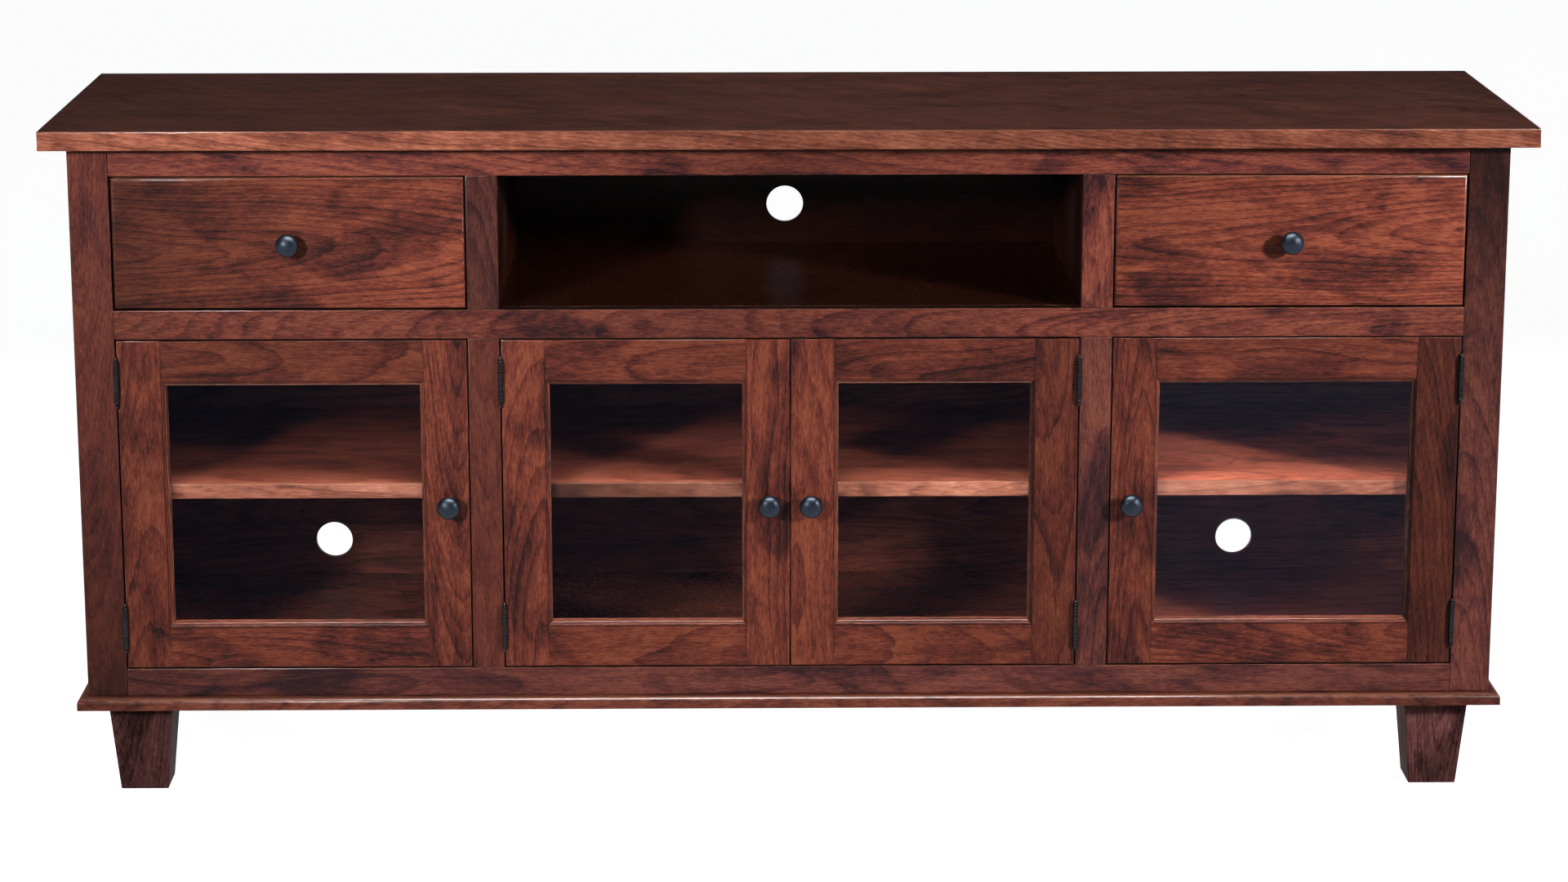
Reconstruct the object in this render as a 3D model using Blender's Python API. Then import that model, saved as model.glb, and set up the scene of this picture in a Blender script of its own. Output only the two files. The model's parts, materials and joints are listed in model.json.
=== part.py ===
"""Free-standing media console: two drawers, an open bay, four glass doors and three fixed shelves.

Metres, +Z up, front towards -Y. The origin is on the floor, below the middle of the top.
Run with blender --background --python part.py, or from the text editor.
"""

import math

import bmesh
import bpy
from mathutils import Vector

# Top
TOP_WIDTH = 1.892
TOP_DEPTH = 0.533
TOP_THICKNESS = 0.025
TOP_EDGE_EASE = 0.0015
TOP_SIDE_OVERHANG = 0.0315
TOP_FRONT_OVERHANG = 0.032
TOP_REAR_OVERHANG = 0.012

# Feet and base board
FOOT_HEIGHT = 0.121
FOOT_TOP_WIDTH = 0.084
FOOT_SOLE_WIDTH = 0.062
FOOT_INSET = 0.022
BASE_THICKNESS = 0.016
BASE_PROJECTION = 0.0135
BASE_EDGE_ROUND = 0.006

# Face frame
FRAME_THICKNESS = 0.020
STILE_WIDTH = 0.0515
MULLION_WIDTH = 0.040
SIDE_OPENING_WIDTH = 0.451
BOTTOM_RAIL_HEIGHT = 0.037
DOOR_OPENING_HEIGHT = 0.4375
MIDDLE_RAIL_HEIGHT = 0.0375
DRAWER_OPENING_HEIGHT = 0.173
TOP_RAIL_HEIGHT = 0.037

# Case panels
PANEL_THICKNESS = 0.019
BACK_THICKNESS = 0.009
BACK_RECESS = 0.003
HOUSING_DEPTH = 0.006
SHELF_THICKNESS = 0.019
SHELF_RISE = 0.241
SHELF_SETBACK = 0.004
CABLE_HOLE_DIAMETER = 0.0508
UPPER_CABLE_HOLE_RISE = 0.054
LOWER_CABLE_HOLE_RISE = 0.049

# Doors
DOOR_THICKNESS = 0.020
DOOR_STILE_FLAT = 0.0515
DOOR_RAIL_FLAT = 0.0495
QUIRK_DEPTH = 0.0012
OVOLO_RADIUS = 0.0055
FILLET_WIDTH = 0.0020
BEAD_RADIUS = 0.0020
STICKING_LIP = 0.0018
GLASS_THICKNESS = 0.003
GLASS_GROOVE_DEPTH = 0.007

# Hinges
HINGE_FROM_DOOR_END = 0.054
BARREL_RADIUS = 0.0033
BARREL_LENGTH = 0.051
END_KNUCKLE_LENGTH = 0.013
PIN_RADIUS = 0.0015
FINIAL_BALL_RADIUS = 0.0023
FINIAL_BEAD_RADIUS = 0.0012
FINIAL_NECK_RADIUS = 0.0013
FINIAL_COLLAR_HEIGHT = 0.0022
URN_SHOULDER_HEIGHT = 0.00205
URN_TAPER_HEIGHT = 0.0034
URN_TIP_HEIGHT = 0.00085
BALL_END_ANGLE = 60
BEAD_START_ANGLE = -30
LEAF_SPINE_WIDTH = 0.004
LEAF_SETBACK = 0.002
LEAF_SHOULDER = 0.0006

# Drawers
DRAWER_FRONT_THICKNESS = 0.020
DRAWER_FRONT_ROUND = 0.004
DRAWER_SIDE_THICKNESS = 0.012
DRAWER_BOTTOM_THICKNESS = 0.008
GUIDE_WIDTH = 0.012
GUIDE_HEIGHT = 0.010
GUIDE_SETBACK = 0.012

# Knobs
KNOB_DIAMETER = 0.030
KNOB_PROJECTION = 0.0275
KNOB_DOME_HEIGHT = 0.009
KNOB_RIM_HEIGHT = 0.0015
KNOB_UNDERCUT = 0.0035
KNOB_FOOT_RADIUS = 0.0085
KNOB_NECK_RADIUS = 0.0055

# Clearances
JOINT_GAP = 0.0003
REVEAL = 0.002
LEAF_CLEARANCE = 0.0004
PIN_CLEARANCE = 0.0003
KNUCKLE_CLEARANCE = 0.0003
BARREL_CLEARANCE = 0.0005
DRAWER_SIDE_CLEARANCE = 0.006
DRAWER_RUN_CLEARANCE = 0.0005
DRAWER_HEAD_CLEARANCE = 0.0325
DRAWER_REAR_CLEARANCE = 0.0565
GUIDE_CLEARANCE = 0.001

# Facets
BARREL_SIDES = 12
KNOB_SIDES = 20
CABLE_HOLE_SIDES = 32
ARC_STEPS = 4
OVERSHOOT = 0.005
WELD_DISTANCE = 0.000001
SMOOTH_ANGLE = math.radians(40)

# Levels, from the floor up
BASE_TOP_Z = FOOT_HEIGHT + BASE_THICKNESS
FLOOR_Z = BASE_TOP_Z + BOTTOM_RAIL_HEIGHT
DOOR_HEAD_Z = FLOOR_Z + DOOR_OPENING_HEIGHT
DECK_Z = DOOR_HEAD_Z + MIDDLE_RAIL_HEIGHT
DRAWER_HEAD_Z = DECK_Z + DRAWER_OPENING_HEIGHT
CASE_TOP_Z = DRAWER_HEAD_Z + TOP_RAIL_HEIGHT
SHELF_Z = FLOOR_Z + SHELF_RISE

# Depths, from the front back
FACE_Y = TOP_FRONT_OVERHANG - TOP_DEPTH / 2
FRAME_BACK_Y = FACE_Y + FRAME_THICKNESS
CASE_BACK_Y = TOP_DEPTH / 2 - TOP_REAR_OVERHANG
BACK_FACE_Y = CASE_BACK_Y - BACK_RECESS - BACK_THICKNESS
PANEL_FRONT_Y = FRAME_BACK_Y + JOINT_GAP
PANEL_REAR_Y = BACK_FACE_Y - JOINT_GAP
LAP_Y = (PANEL_FRONT_Y + PANEL_REAR_Y) / 2

# Distances from the middle, the same on both sides
CASE_X = TOP_WIDTH / 2 - TOP_SIDE_OVERHANG
SIDE_FACE_X = CASE_X - PANEL_THICKNESS
OUTER_OPENING_X = CASE_X - STILE_WIDTH
INNER_OPENING_X = OUTER_OPENING_X - SIDE_OPENING_WIDTH
CENTRE_OPENING_X = INNER_OPENING_X - MULLION_WIDTH
PARTITION_FACE_X = CENTRE_OPENING_X + PANEL_THICKNESS
BAY_X = (OUTER_OPENING_X + INNER_OPENING_X) / 2

# Door moulding, from the flat of the frame to the glass
STICKING_WIDTH = OVOLO_RADIUS + FILLET_WIDTH + BEAD_RADIUS
GLASS_SETBACK = QUIRK_DEPTH + OVOLO_RADIUS + BEAD_RADIUS + STICKING_LIP

# Hinge barrels stand just proud of the face, in the middle of the reveal
HINGE_Y = FACE_Y - BARREL_RADIUS - BARREL_CLEARANCE
LEAF_THICKNESS = REVEAL - 2 * LEAF_CLEARANCE
LEAF_DEPTH = FACE_Y + DOOR_THICKNESS - LEAF_SETBACK - HINGE_Y

SIDES = (("left", -1), ("right", 1))


def clear_scene():
    for item in list(bpy.data.objects):
        bpy.data.objects.remove(item)


def finish(name, colour, roughness, metallic=0.0, alpha=1.0):
    """A plain finish with one colour."""
    material = bpy.data.materials.new(name)
    material.use_nodes = True
    shader = material.node_tree.nodes["Principled BSDF"]
    shader.inputs["Base Color"].default_value = (*colour, 1.0)
    shader.inputs["Roughness"].default_value = roughness
    shader.inputs["Metallic"].default_value = metallic
    shader.inputs["Alpha"].default_value = alpha
    return material


def marker(name, place, parent=None):
    """An empty that carries pieces, at a joint's axis or at the origin."""
    empty = bpy.data.objects.new(name, None)
    bpy.context.collection.objects.link(empty)
    empty.parent = parent
    empty.location = place
    return empty


def add_piece(name, mesh, place, parent, material):
    """An object at a place in the console's frame, carried by an empty."""
    piece = bpy.data.objects.new(name, mesh)
    bpy.context.collection.objects.link(piece)
    if material and not mesh.materials:
        mesh.materials.append(material)
    piece.parent = parent
    carried_from = Vector()
    while parent:
        carried_from += parent.location
        parent = parent.parent
    piece.location = Vector(place) - carried_from
    return piece


def mesh_of(name, shape):
    """Turns a bmesh into a mesh with its faces pointing out."""
    bmesh.ops.recalc_face_normals(shape, faces=shape.faces)
    mesh = bpy.data.meshes.new(name)
    shape.to_mesh(mesh)
    shape.free()
    return mesh


def smooth(mesh):
    mesh.shade_smooth()
    mesh.set_sharp_from_angle(angle=SMOOTH_ANGLE)


def block(low, high):
    """A box shape round its own centre, and that centre."""
    low = Vector(low)
    high = Vector(high)
    shape = bmesh.new()
    bmesh.ops.create_cube(shape, size=1.0)
    bmesh.ops.scale(shape, vec=high - low, verts=shape.verts)
    return shape, (low + high) / 2


def add_board(name, low, high, parent, material):
    shape, centre = block(low, high)
    return add_piece(name, mesh_of(name, shape), centre, parent, material)


def round_edges(shape, radius, steps, chosen):
    """Rounds the edges whose two ends both pass the test."""
    edges = [edge for edge in shape.edges if all(chosen(vert.co) for vert in edge.verts)]
    bmesh.ops.bevel(shape, geom=edges, offset=radius, segments=steps, profile=0.5, affect="EDGES")


def add_tool(name, mesh, place):
    tool = add_piece(name, mesh, place, None, None)
    tool.hide_render = True
    tool.display_type = "WIRE"
    return tool


def combine(piece, tool, operation):
    change = piece.modifiers.new(tool.name, "BOOLEAN")
    change.operation = operation
    change.object = tool


def cut_block(piece, label, low, high):
    """Cuts a box-shaped hollow between two corners out of a piece."""
    shape, centre = block(low, high)
    name = f"{piece.name}_{label}"
    combine(piece, add_tool(name, mesh_of(name, shape), centre), "DIFFERENCE")


def join_block(piece, label, low, high):
    """Joins a box between two corners to a piece."""
    shape, centre = block(low, high)
    name = f"{piece.name}_{label}"
    combine(piece, add_tool(name, mesh_of(name, shape), centre), "UNION")


def baked(piece):
    """The piece's mesh with its modifiers applied, for copies to share."""
    graph = bpy.context.evaluated_depsgraph_get()
    return bpy.data.meshes.new_from_object(piece.evaluated_get(graph))


def span(side, near, far):
    """The lower and the higher x of a stretch on one side of the middle."""
    return sorted((side * near, side * far))


def arc(centre, radius, start, end, steps):
    """Points along an arc; angles run from the first axis towards the second."""
    points = []
    for step in range(steps + 1):
        angle = math.radians(start + (end - start) * step / steps)
        points.append((centre[0] + radius * math.cos(angle), centre[1] + radius * math.sin(angle)))
    return points


def turned(profile, sides, closed=False):
    """A shape turned about Z from (radius, height) points that start and end on the axis, or close up."""
    shape = bmesh.new()
    verts = [shape.verts.new((radius, 0.0, height)) for radius, height in profile]
    for first, second in zip(verts, verts[1:]):
        shape.edges.new((first, second))
    if closed:
        shape.edges.new((verts[-1], verts[0]))
    line = shape.verts[:] + shape.edges[:]
    bmesh.ops.spin(
        shape, geom=line, cent=(0, 0, 0), axis=(0, 0, 1), angle=math.tau, steps=sides, use_merge=True
    )
    bmesh.ops.remove_doubles(shape, verts=shape.verts, dist=WELD_DISTANCE)
    return shape


def extruded_plate(outline, thickness):
    """A plate from a (depth, height) outline, with its thickness centred across X."""
    shape = bmesh.new()
    verts = [shape.verts.new((-thickness / 2, depth, height)) for depth, height in outline]
    made = bmesh.ops.extrude_face_region(shape, geom=[shape.faces.new(verts)])
    moved = [item for item in made["geom"] if isinstance(item, bmesh.types.BMVert)]
    bmesh.ops.translate(shape, verts=moved, vec=(thickness, 0, 0))
    return shape


def add_top(case, material):
    shape, centre = block(
        (-TOP_WIDTH / 2, -TOP_DEPTH / 2, CASE_TOP_Z + JOINT_GAP),
        (TOP_WIDTH / 2, TOP_DEPTH / 2, CASE_TOP_Z + TOP_THICKNESS),
    )
    round_edges(shape, TOP_EDGE_EASE, 1, lambda point: True)
    add_piece("top_panel", mesh_of("top_panel", shape), centre, case, material)


def add_feet(case, material):
    """Four square feet that taper on all sides."""
    reach_x = CASE_X - FOOT_INSET - FOOT_TOP_WIDTH / 2
    front_y = FACE_Y + FOOT_INSET + FOOT_TOP_WIDTH / 2
    rear_y = CASE_BACK_Y - FOOT_INSET - FOOT_TOP_WIDTH / 2
    for side_name, side in SIDES:
        for end_name, y in (("front", front_y), ("rear", rear_y)):
            name = f"{side_name}_{end_name}_foot"
            half = FOOT_TOP_WIDTH / 2
            shape, _ = block((-half, -half, 0), (half, half, FOOT_HEIGHT - JOINT_GAP))
            sole = [vert for vert in shape.verts if vert.co.z < 0]
            shrink = FOOT_SOLE_WIDTH / FOOT_TOP_WIDTH
            bmesh.ops.scale(shape, vec=(shrink, shrink, 1), verts=sole)
            place = (side * reach_x, y, (FOOT_HEIGHT - JOINT_GAP) / 2)
            add_piece(name, mesh_of(name, shape), place, case, material)


def add_base(case, material):
    """A board below the case that stands proud in front and at the sides, with its upper edge rounded."""
    reach_x = CASE_X + BASE_PROJECTION
    shape, centre = block(
        (-reach_x, FACE_Y - BASE_PROJECTION, FOOT_HEIGHT),
        (reach_x, CASE_BACK_Y, BASE_TOP_Z - JOINT_GAP),
    )
    top = max(vert.co.z for vert in shape.verts)
    rear = max(vert.co.y for vert in shape.verts)
    edges = []
    for edge in shape.edges:
        upper = all(vert.co.z == top for vert in edge.verts)
        along_rear = all(vert.co.y == rear for vert in edge.verts)
        if upper and not along_rear:
            edges.append(edge)
    bmesh.ops.bevel(
        shape, geom=edges, offset=BASE_EDGE_ROUND, segments=ARC_STEPS, profile=0.5, affect="EDGES"
    )
    add_piece("base_board", mesh_of("base_board", shape), centre, case, material)


def add_face_frame(case, material):
    """Stiles run the full height, rails between the stiles and mullions between the rails."""

    def member(name, x_pair, low_z, high_z):
        low = (x_pair[0], FACE_Y, low_z)
        high = (x_pair[1], FRAME_BACK_Y, high_z)
        add_board(name, low, high, case, material)

    rail_x = OUTER_OPENING_X - JOINT_GAP
    member("bottom_rail", (-rail_x, rail_x), BASE_TOP_Z, FLOOR_Z)
    member("middle_rail", (-rail_x, rail_x), DOOR_HEAD_Z, DECK_Z)
    member("top_rail", (-rail_x, rail_x), DRAWER_HEAD_Z, CASE_TOP_Z)
    for name, side in SIDES:
        member(f"{name}_stile", span(side, OUTER_OPENING_X, CASE_X), BASE_TOP_Z, CASE_TOP_Z)
        mullion_x = span(side, CENTRE_OPENING_X, INNER_OPENING_X)
        member(f"lower_{name}_mullion", mullion_x, FLOOR_Z + JOINT_GAP, DOOR_HEAD_Z - JOINT_GAP)
        member(f"upper_{name}_mullion", mullion_x, DECK_Z + JOINT_GAP, DRAWER_HEAD_Z - JOINT_GAP)


def lying_boards():
    """The corners of each board that is housed in the upright panels, by name."""
    housed_x = SIDE_FACE_X + HOUSING_DEPTH - JOINT_GAP
    shelf_y = FACE_Y + DOOR_THICKNESS + SHELF_SETBACK
    boards = {
        "bottom_panel": (
            (-housed_x, PANEL_FRONT_Y, FLOOR_Z - PANEL_THICKNESS),
            (housed_x, PANEL_REAR_Y, FLOOR_Z),
        ),
        "middle_deck": (
            (-housed_x, PANEL_FRONT_Y, DECK_Z - PANEL_THICKNESS),
            (housed_x, PANEL_REAR_Y, DECK_Z),
        ),
    }
    centre_x = CENTRE_OPENING_X + HOUSING_DEPTH - JOINT_GAP
    shelf_spans = {"centre_shelf": (-centre_x, centre_x)}
    for name, side in SIDES:
        inner_x = PARTITION_FACE_X - HOUSING_DEPTH + JOINT_GAP
        shelf_spans[f"{name}_shelf"] = span(side, inner_x, housed_x)
    for name, (low_x, high_x) in shelf_spans.items():
        low = (low_x, shelf_y, SHELF_Z - SHELF_THICKNESS)
        boards[name] = (low, (high_x, PANEL_REAR_Y, SHELF_Z))
    return boards


def house(panel, board_name, low, high):
    """Cuts the groove that a lying board's end sits in, from the front to the board's rear edge."""
    groove_low = (low[0] - JOINT_GAP, PANEL_FRONT_Y - OVERSHOOT, low[2] - JOINT_GAP)
    groove_high = (high[0] + JOINT_GAP, high[1] + JOINT_GAP, high[2] + JOINT_GAP)
    cut_block(panel, f"{board_name}_housing", groove_low, groove_high)


def add_panels(case, material):
    """Upright and lying panels. The deck and the partitions are halved over each other."""
    boards = lying_boards()
    made = {}
    for name, (low, high) in boards.items():
        made[name] = add_board(name, low, high, case, material)
    deck = made["middle_deck"]
    deck_low, deck_high = boards["middle_deck"]
    for name, side in SIDES:
        side_x = span(side, SIDE_FACE_X, CASE_X)
        panel = add_board(
            f"{name}_side_panel",
            (side_x[0], PANEL_FRONT_Y, BASE_TOP_Z),
            (side_x[1], CASE_BACK_Y, CASE_TOP_Z),
            case,
            material,
        )
        for board_name in ("bottom_panel", "middle_deck", f"{name}_shelf"):
            house(panel, board_name, *boards[board_name])

        partition_x = span(side, CENTRE_OPENING_X, PARTITION_FACE_X)
        partition = add_board(
            f"{name}_partition",
            (partition_x[0], PANEL_FRONT_Y, FLOOR_Z + JOINT_GAP),
            (partition_x[1], PANEL_REAR_Y, CASE_TOP_Z),
            case,
            material,
        )
        for board_name in ("centre_shelf", f"{name}_shelf"):
            house(partition, board_name, *boards[board_name])
        cut_block(
            partition,
            "deck_lap",
            (deck_low[0], PANEL_FRONT_Y - OVERSHOOT, deck_low[2] - JOINT_GAP),
            (deck_high[0], LAP_Y + JOINT_GAP, deck_high[2] + JOINT_GAP),
        )
        cut_block(
            deck,
            f"{name}_partition_lap",
            (partition_x[0] - JOINT_GAP, LAP_Y, deck_low[2] - OVERSHOOT),
            (partition_x[1] + JOINT_GAP, PANEL_REAR_Y + OVERSHOOT, deck_high[2] + OVERSHOOT),
        )
        add_drawer_guides(deck, name, side)


def add_drawer_guides(deck, name, side):
    """Two strips on the deck that keep a drawer box straight."""
    near = SIDE_OPENING_WIDTH / 2 - DRAWER_SIDE_CLEARANCE + GUIDE_CLEARANCE
    front_y = FACE_Y + DRAWER_FRONT_THICKNESS + GUIDE_SETBACK
    for label, hand in (("outer_guide", side), ("inner_guide", -side)):
        low_x, high_x = span(hand, near, near + GUIDE_WIDTH)
        join_block(
            deck,
            f"{name}_{label}",
            (side * BAY_X + low_x, front_y, DECK_Z - PANEL_THICKNESS / 2),
            (side * BAY_X + high_x, PANEL_REAR_Y - GUIDE_SETBACK, DECK_Z + GUIDE_HEIGHT),
        )


def add_back(case, material):
    """The back between the side panels, with a cable hole for the open bay and for each side bay."""
    reach_x = SIDE_FACE_X - JOINT_GAP
    back = add_board(
        "back_panel",
        (-reach_x, BACK_FACE_Y, BASE_TOP_Z),
        (reach_x, CASE_BACK_Y - BACK_RECESS, CASE_TOP_Z),
        case,
        material,
    )
    lower_z = FLOOR_Z + LOWER_CABLE_HOLE_RISE
    holes = {"centre": (0, DECK_Z + UPPER_CABLE_HOLE_RISE)}
    for name, side in SIDES:
        holes[name] = (side * BAY_X, lower_z)
    for name, (x, z) in holes.items():
        shape = bmesh.new()
        bmesh.ops.create_cone(
            shape,
            cap_ends=True,
            segments=CABLE_HOLE_SIDES,
            radius1=CABLE_HOLE_DIAMETER / 2,
            radius2=CABLE_HOLE_DIAMETER / 2,
            depth=BACK_THICKNESS + 2 * OVERSHOOT,
        )
        tool_name = f"{name}_cable_hole"
        place = (x, BACK_FACE_Y + BACK_THICKNESS / 2, z)
        tool = add_tool(tool_name, mesh_of(tool_name, shape), place)
        tool.rotation_euler.x = math.radians(90)
        combine(back, tool, "DIFFERENCE")


def door_section():
    """Door frame section as (distance out from the sight edge, depth behind the face), face first."""
    ovolo_centre = (STICKING_WIDTH, QUIRK_DEPTH + OVOLO_RADIUS)
    bead_depth = QUIRK_DEPTH + OVOLO_RADIUS
    groove_rear = GLASS_SETBACK + GLASS_THICKNESS + 2 * JOINT_GAP
    section = [(STICKING_WIDTH, 0.0)]
    section += arc(ovolo_centre, OVOLO_RADIUS, -90, -180, ARC_STEPS)
    section += arc((BEAD_RADIUS, bead_depth + BEAD_RADIUS), BEAD_RADIUS, -90, -180, 2)
    section += [
        (0.0, GLASS_SETBACK),
        (GLASS_GROOVE_DEPTH, GLASS_SETBACK),
        (GLASS_GROOVE_DEPTH, groove_rear),
        (0.0, groove_rear),
        (0.0, DOOR_THICKNESS),
    ]
    return section


def door_frame_mesh(name, width, height):
    """The four members of a door as one mitred run of the section round the glass."""
    stile = DOOR_STILE_FLAT + STICKING_WIDTH
    rail = DOOR_RAIL_FLAT + STICKING_WIDTH
    insets = [(stile - out, rail - out, depth) for out, depth in door_section()]
    insets = [(0.0, 0.0, 0.0)] + insets + [(0.0, 0.0, DOOR_THICKNESS)]
    corners = ((-1, -1), (1, -1), (1, 1), (-1, 1))
    shape = bmesh.new()
    rings = []
    for inset_x, inset_z, depth in insets:
        reach_x = width / 2 - inset_x
        reach_z = height / 2 - inset_z
        rings.append([shape.verts.new((x * reach_x, depth, z * reach_z)) for x, z in corners])
    for ring, following in zip(rings, rings[1:] + rings[:1]):
        for index in range(len(corners)):
            after = (index + 1) % len(corners)
            shape.faces.new((ring[index], ring[after], following[after], following[index]))
    return mesh_of(name, shape)


def knob_mesh():
    """A turned mushroom knob on Z, from its foot to the crown of its dome."""
    radius = KNOB_DIAMETER / 2
    rim_z = KNOB_PROJECTION - KNOB_DOME_HEIGHT
    under_z = rim_z - KNOB_RIM_HEIGHT
    neck_z = under_z - KNOB_UNDERCUT
    profile = [
        (0.0, 0.0),
        (KNOB_FOOT_RADIUS, 0.0),
        (KNOB_FOOT_RADIUS, KNOB_RIM_HEIGHT),
        (KNOB_NECK_RADIUS, neck_z / 2),
        (KNOB_NECK_RADIUS, neck_z),
        (radius, under_z),
    ]
    for step in range(ARC_STEPS + 1):
        angle = math.radians(90 * step / ARC_STEPS)
        profile.append((radius * math.cos(angle), rim_z + KNOB_DOME_HEIGHT * math.sin(angle)))
    mesh = mesh_of("knob", turned(profile, KNOB_SIDES))
    smooth(mesh)
    return mesh


def barrel_profile():
    """Urn, lower knuckle, pin, upper knuckle, ball and bead, from the lowest point up."""
    half = BARREL_LENGTH / 2
    inner = half - END_KNUCKLE_LENGTH
    neck_z = half + FINIAL_COLLAR_HEIGHT
    ball_z = neck_z + math.sqrt(FINIAL_BALL_RADIUS**2 - FINIAL_NECK_RADIUS**2)
    ball_start = math.degrees(math.asin(-(ball_z - neck_z) / FINIAL_BALL_RADIUS))
    bead_z = ball_z + FINIAL_BALL_RADIUS + FINIAL_BEAD_RADIUS / 2
    shoulder_z = -neck_z - URN_SHOULDER_HEIGHT
    taper_z = shoulder_z - URN_TAPER_HEIGHT
    profile = [
        (0.0, taper_z - URN_TIP_HEIGHT),
        (FINIAL_BEAD_RADIUS, taper_z),
        (FINIAL_BALL_RADIUS, shoulder_z),
        (FINIAL_NECK_RADIUS, -neck_z),
        (BARREL_RADIUS, -half),
        (BARREL_RADIUS, -inner),
        (PIN_RADIUS, -inner),
        (PIN_RADIUS, inner),
        (BARREL_RADIUS, inner),
        (BARREL_RADIUS, half),
    ]
    profile += arc((0.0, ball_z), FINIAL_BALL_RADIUS, ball_start, BALL_END_ANGLE, ARC_STEPS)
    profile += arc((0.0, bead_z), FINIAL_BEAD_RADIUS, BEAD_START_ANGLE, 90, ARC_STEPS)[:-1]
    profile.append((0.0, bead_z + FINIAL_BEAD_RADIUS))
    return profile


def hinge_meshes():
    """The fixed leaf with its pin and finials, and the door leaf that nests inside it."""
    half = BARREL_LENGTH / 2
    inner = half - END_KNUCKLE_LENGTH
    tab_low = inner + LEAF_SHOULDER
    tab_high = half - LEAF_SHOULDER
    window_y = LEAF_DEPTH - LEAF_SPINE_WIDTH
    fixed_outline = [
        (0.0, -tab_high),
        (LEAF_DEPTH, -tab_high),
        (LEAF_DEPTH, tab_high),
        (0.0, tab_high),
        (0.0, tab_low),
        (window_y, tab_low),
        (window_y, -tab_low),
        (0.0, -tab_low),
    ]
    barrel = mesh_of("fixed_leaf", turned(barrel_profile(), BARREL_SIDES))
    fixed = join_leaf("fixed_leaf", barrel, fixed_outline)

    bore_radius = PIN_RADIUS + PIN_CLEARANCE
    knuckle = inner - KNUCKLE_CLEARANCE
    ring = [
        (bore_radius, -knuckle),
        (BARREL_RADIUS, -knuckle),
        (BARREL_RADIUS, knuckle),
        (bore_radius, knuckle),
    ]
    leaf_z = knuckle - LEAF_SHOULDER
    leaf_front = (bore_radius + BARREL_RADIUS) / 2
    leaf_rear = window_y - KNUCKLE_CLEARANCE
    door_outline = [
        (leaf_front, -leaf_z),
        (leaf_rear, -leaf_z),
        (leaf_rear, leaf_z),
        (leaf_front, leaf_z),
    ]
    tube = mesh_of("door_leaf", turned(ring, BARREL_SIDES, closed=True))
    moving = join_leaf("door_leaf", tube, door_outline)
    return fixed, moving


def join_leaf(name, barrel, outline):
    """One mesh from a turned barrel and the flat leaf that grows out of it."""
    barrel_piece = add_tool(f"{name}_barrel", barrel, (0, 0, 0))
    plate = mesh_of(f"{name}_plate", extruded_plate(outline, LEAF_THICKNESS))
    plate_piece = add_tool(f"{name}_plate", plate, (0, 0, 0))
    combine(barrel_piece, plate_piece, "UNION")
    mesh = baked(barrel_piece)
    mesh.name = name
    smooth(mesh)
    bpy.data.objects.remove(barrel_piece)
    bpy.data.objects.remove(plate_piece)
    return mesh


def place_knob(name, mesh, x, z, parent, material):
    knob = add_piece(name, mesh, (x, FACE_Y - JOINT_GAP, z), parent, material)
    knob.rotation_euler.x = math.radians(90)


def add_door(case, name, low_x, high_x, hinge_side, meshes, looks):
    """A glazed door between two sides of its opening, on two hinges; hinge_side is -1 left, 1 right."""
    width = high_x - low_x
    low_z = FLOOR_Z + REVEAL
    high_z = DOOR_HEAD_Z - REVEAL
    height = high_z - low_z
    middle = ((low_x + high_x) / 2, FACE_Y, (low_z + high_z) / 2)
    hinge_edge_x = low_x if hinge_side < 0 else high_x
    lock_edge_x = high_x if hinge_side < 0 else low_x
    axis_x = hinge_edge_x + hinge_side * REVEAL / 2
    swing = marker(f"{name}_swing", (axis_x, HINGE_Y, middle[2]), case)

    frame = door_frame_mesh(f"{name}_frame", width, height)
    add_piece(f"{name}_frame", frame, middle, swing, looks["door"])

    sight_x = width / 2 - DOOR_STILE_FLAT - STICKING_WIDTH
    sight_z = height / 2 - DOOR_RAIL_FLAT - STICKING_WIDTH
    pane_x = sight_x + GLASS_GROOVE_DEPTH - JOINT_GAP
    pane_z = sight_z + GLASS_GROOVE_DEPTH - JOINT_GAP
    pane_y = FACE_Y + GLASS_SETBACK + JOINT_GAP
    add_board(
        f"{name}_glass",
        (middle[0] - pane_x, pane_y, middle[2] - pane_z),
        (middle[0] + pane_x, pane_y + GLASS_THICKNESS, middle[2] + pane_z),
        swing,
        looks["glass"],
    )

    knob_x = lock_edge_x + hinge_side * DOOR_STILE_FLAT / 2
    place_knob(f"{name}_knob", meshes["knob"], knob_x, middle[2], swing, looks["knob"])

    hinge_levels = {"lower": low_z + HINGE_FROM_DOOR_END, "upper": high_z - HINGE_FROM_DOOR_END}
    for level, z in hinge_levels.items():
        place = (axis_x, HINGE_Y, z)
        fixed_name = f"{name}_{level}_hinge_fixed_leaf"
        add_piece(fixed_name, meshes["fixed_leaf"], place, case, looks["hinge"])
        moving_name = f"{name}_{level}_hinge_door_leaf"
        add_piece(moving_name, meshes["door_leaf"], place, swing, looks["hinge"])


def add_doors(case, meshes, looks):
    """A single door at each side, hinged outside, and a pair in the middle that meets with one reveal."""
    outer = OUTER_OPENING_X - REVEAL
    inner = INNER_OPENING_X + REVEAL
    centre = CENTRE_OPENING_X - REVEAL
    meeting = REVEAL / 2
    add_door(case, "left_door", -outer, -inner, -1, meshes, looks)
    add_door(case, "centre_left_door", -centre, -meeting, -1, meshes, looks)
    add_door(case, "centre_right_door", meeting, centre, 1, meshes, looks)
    add_door(case, "right_door", inner, outer, 1, meshes, looks)


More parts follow.
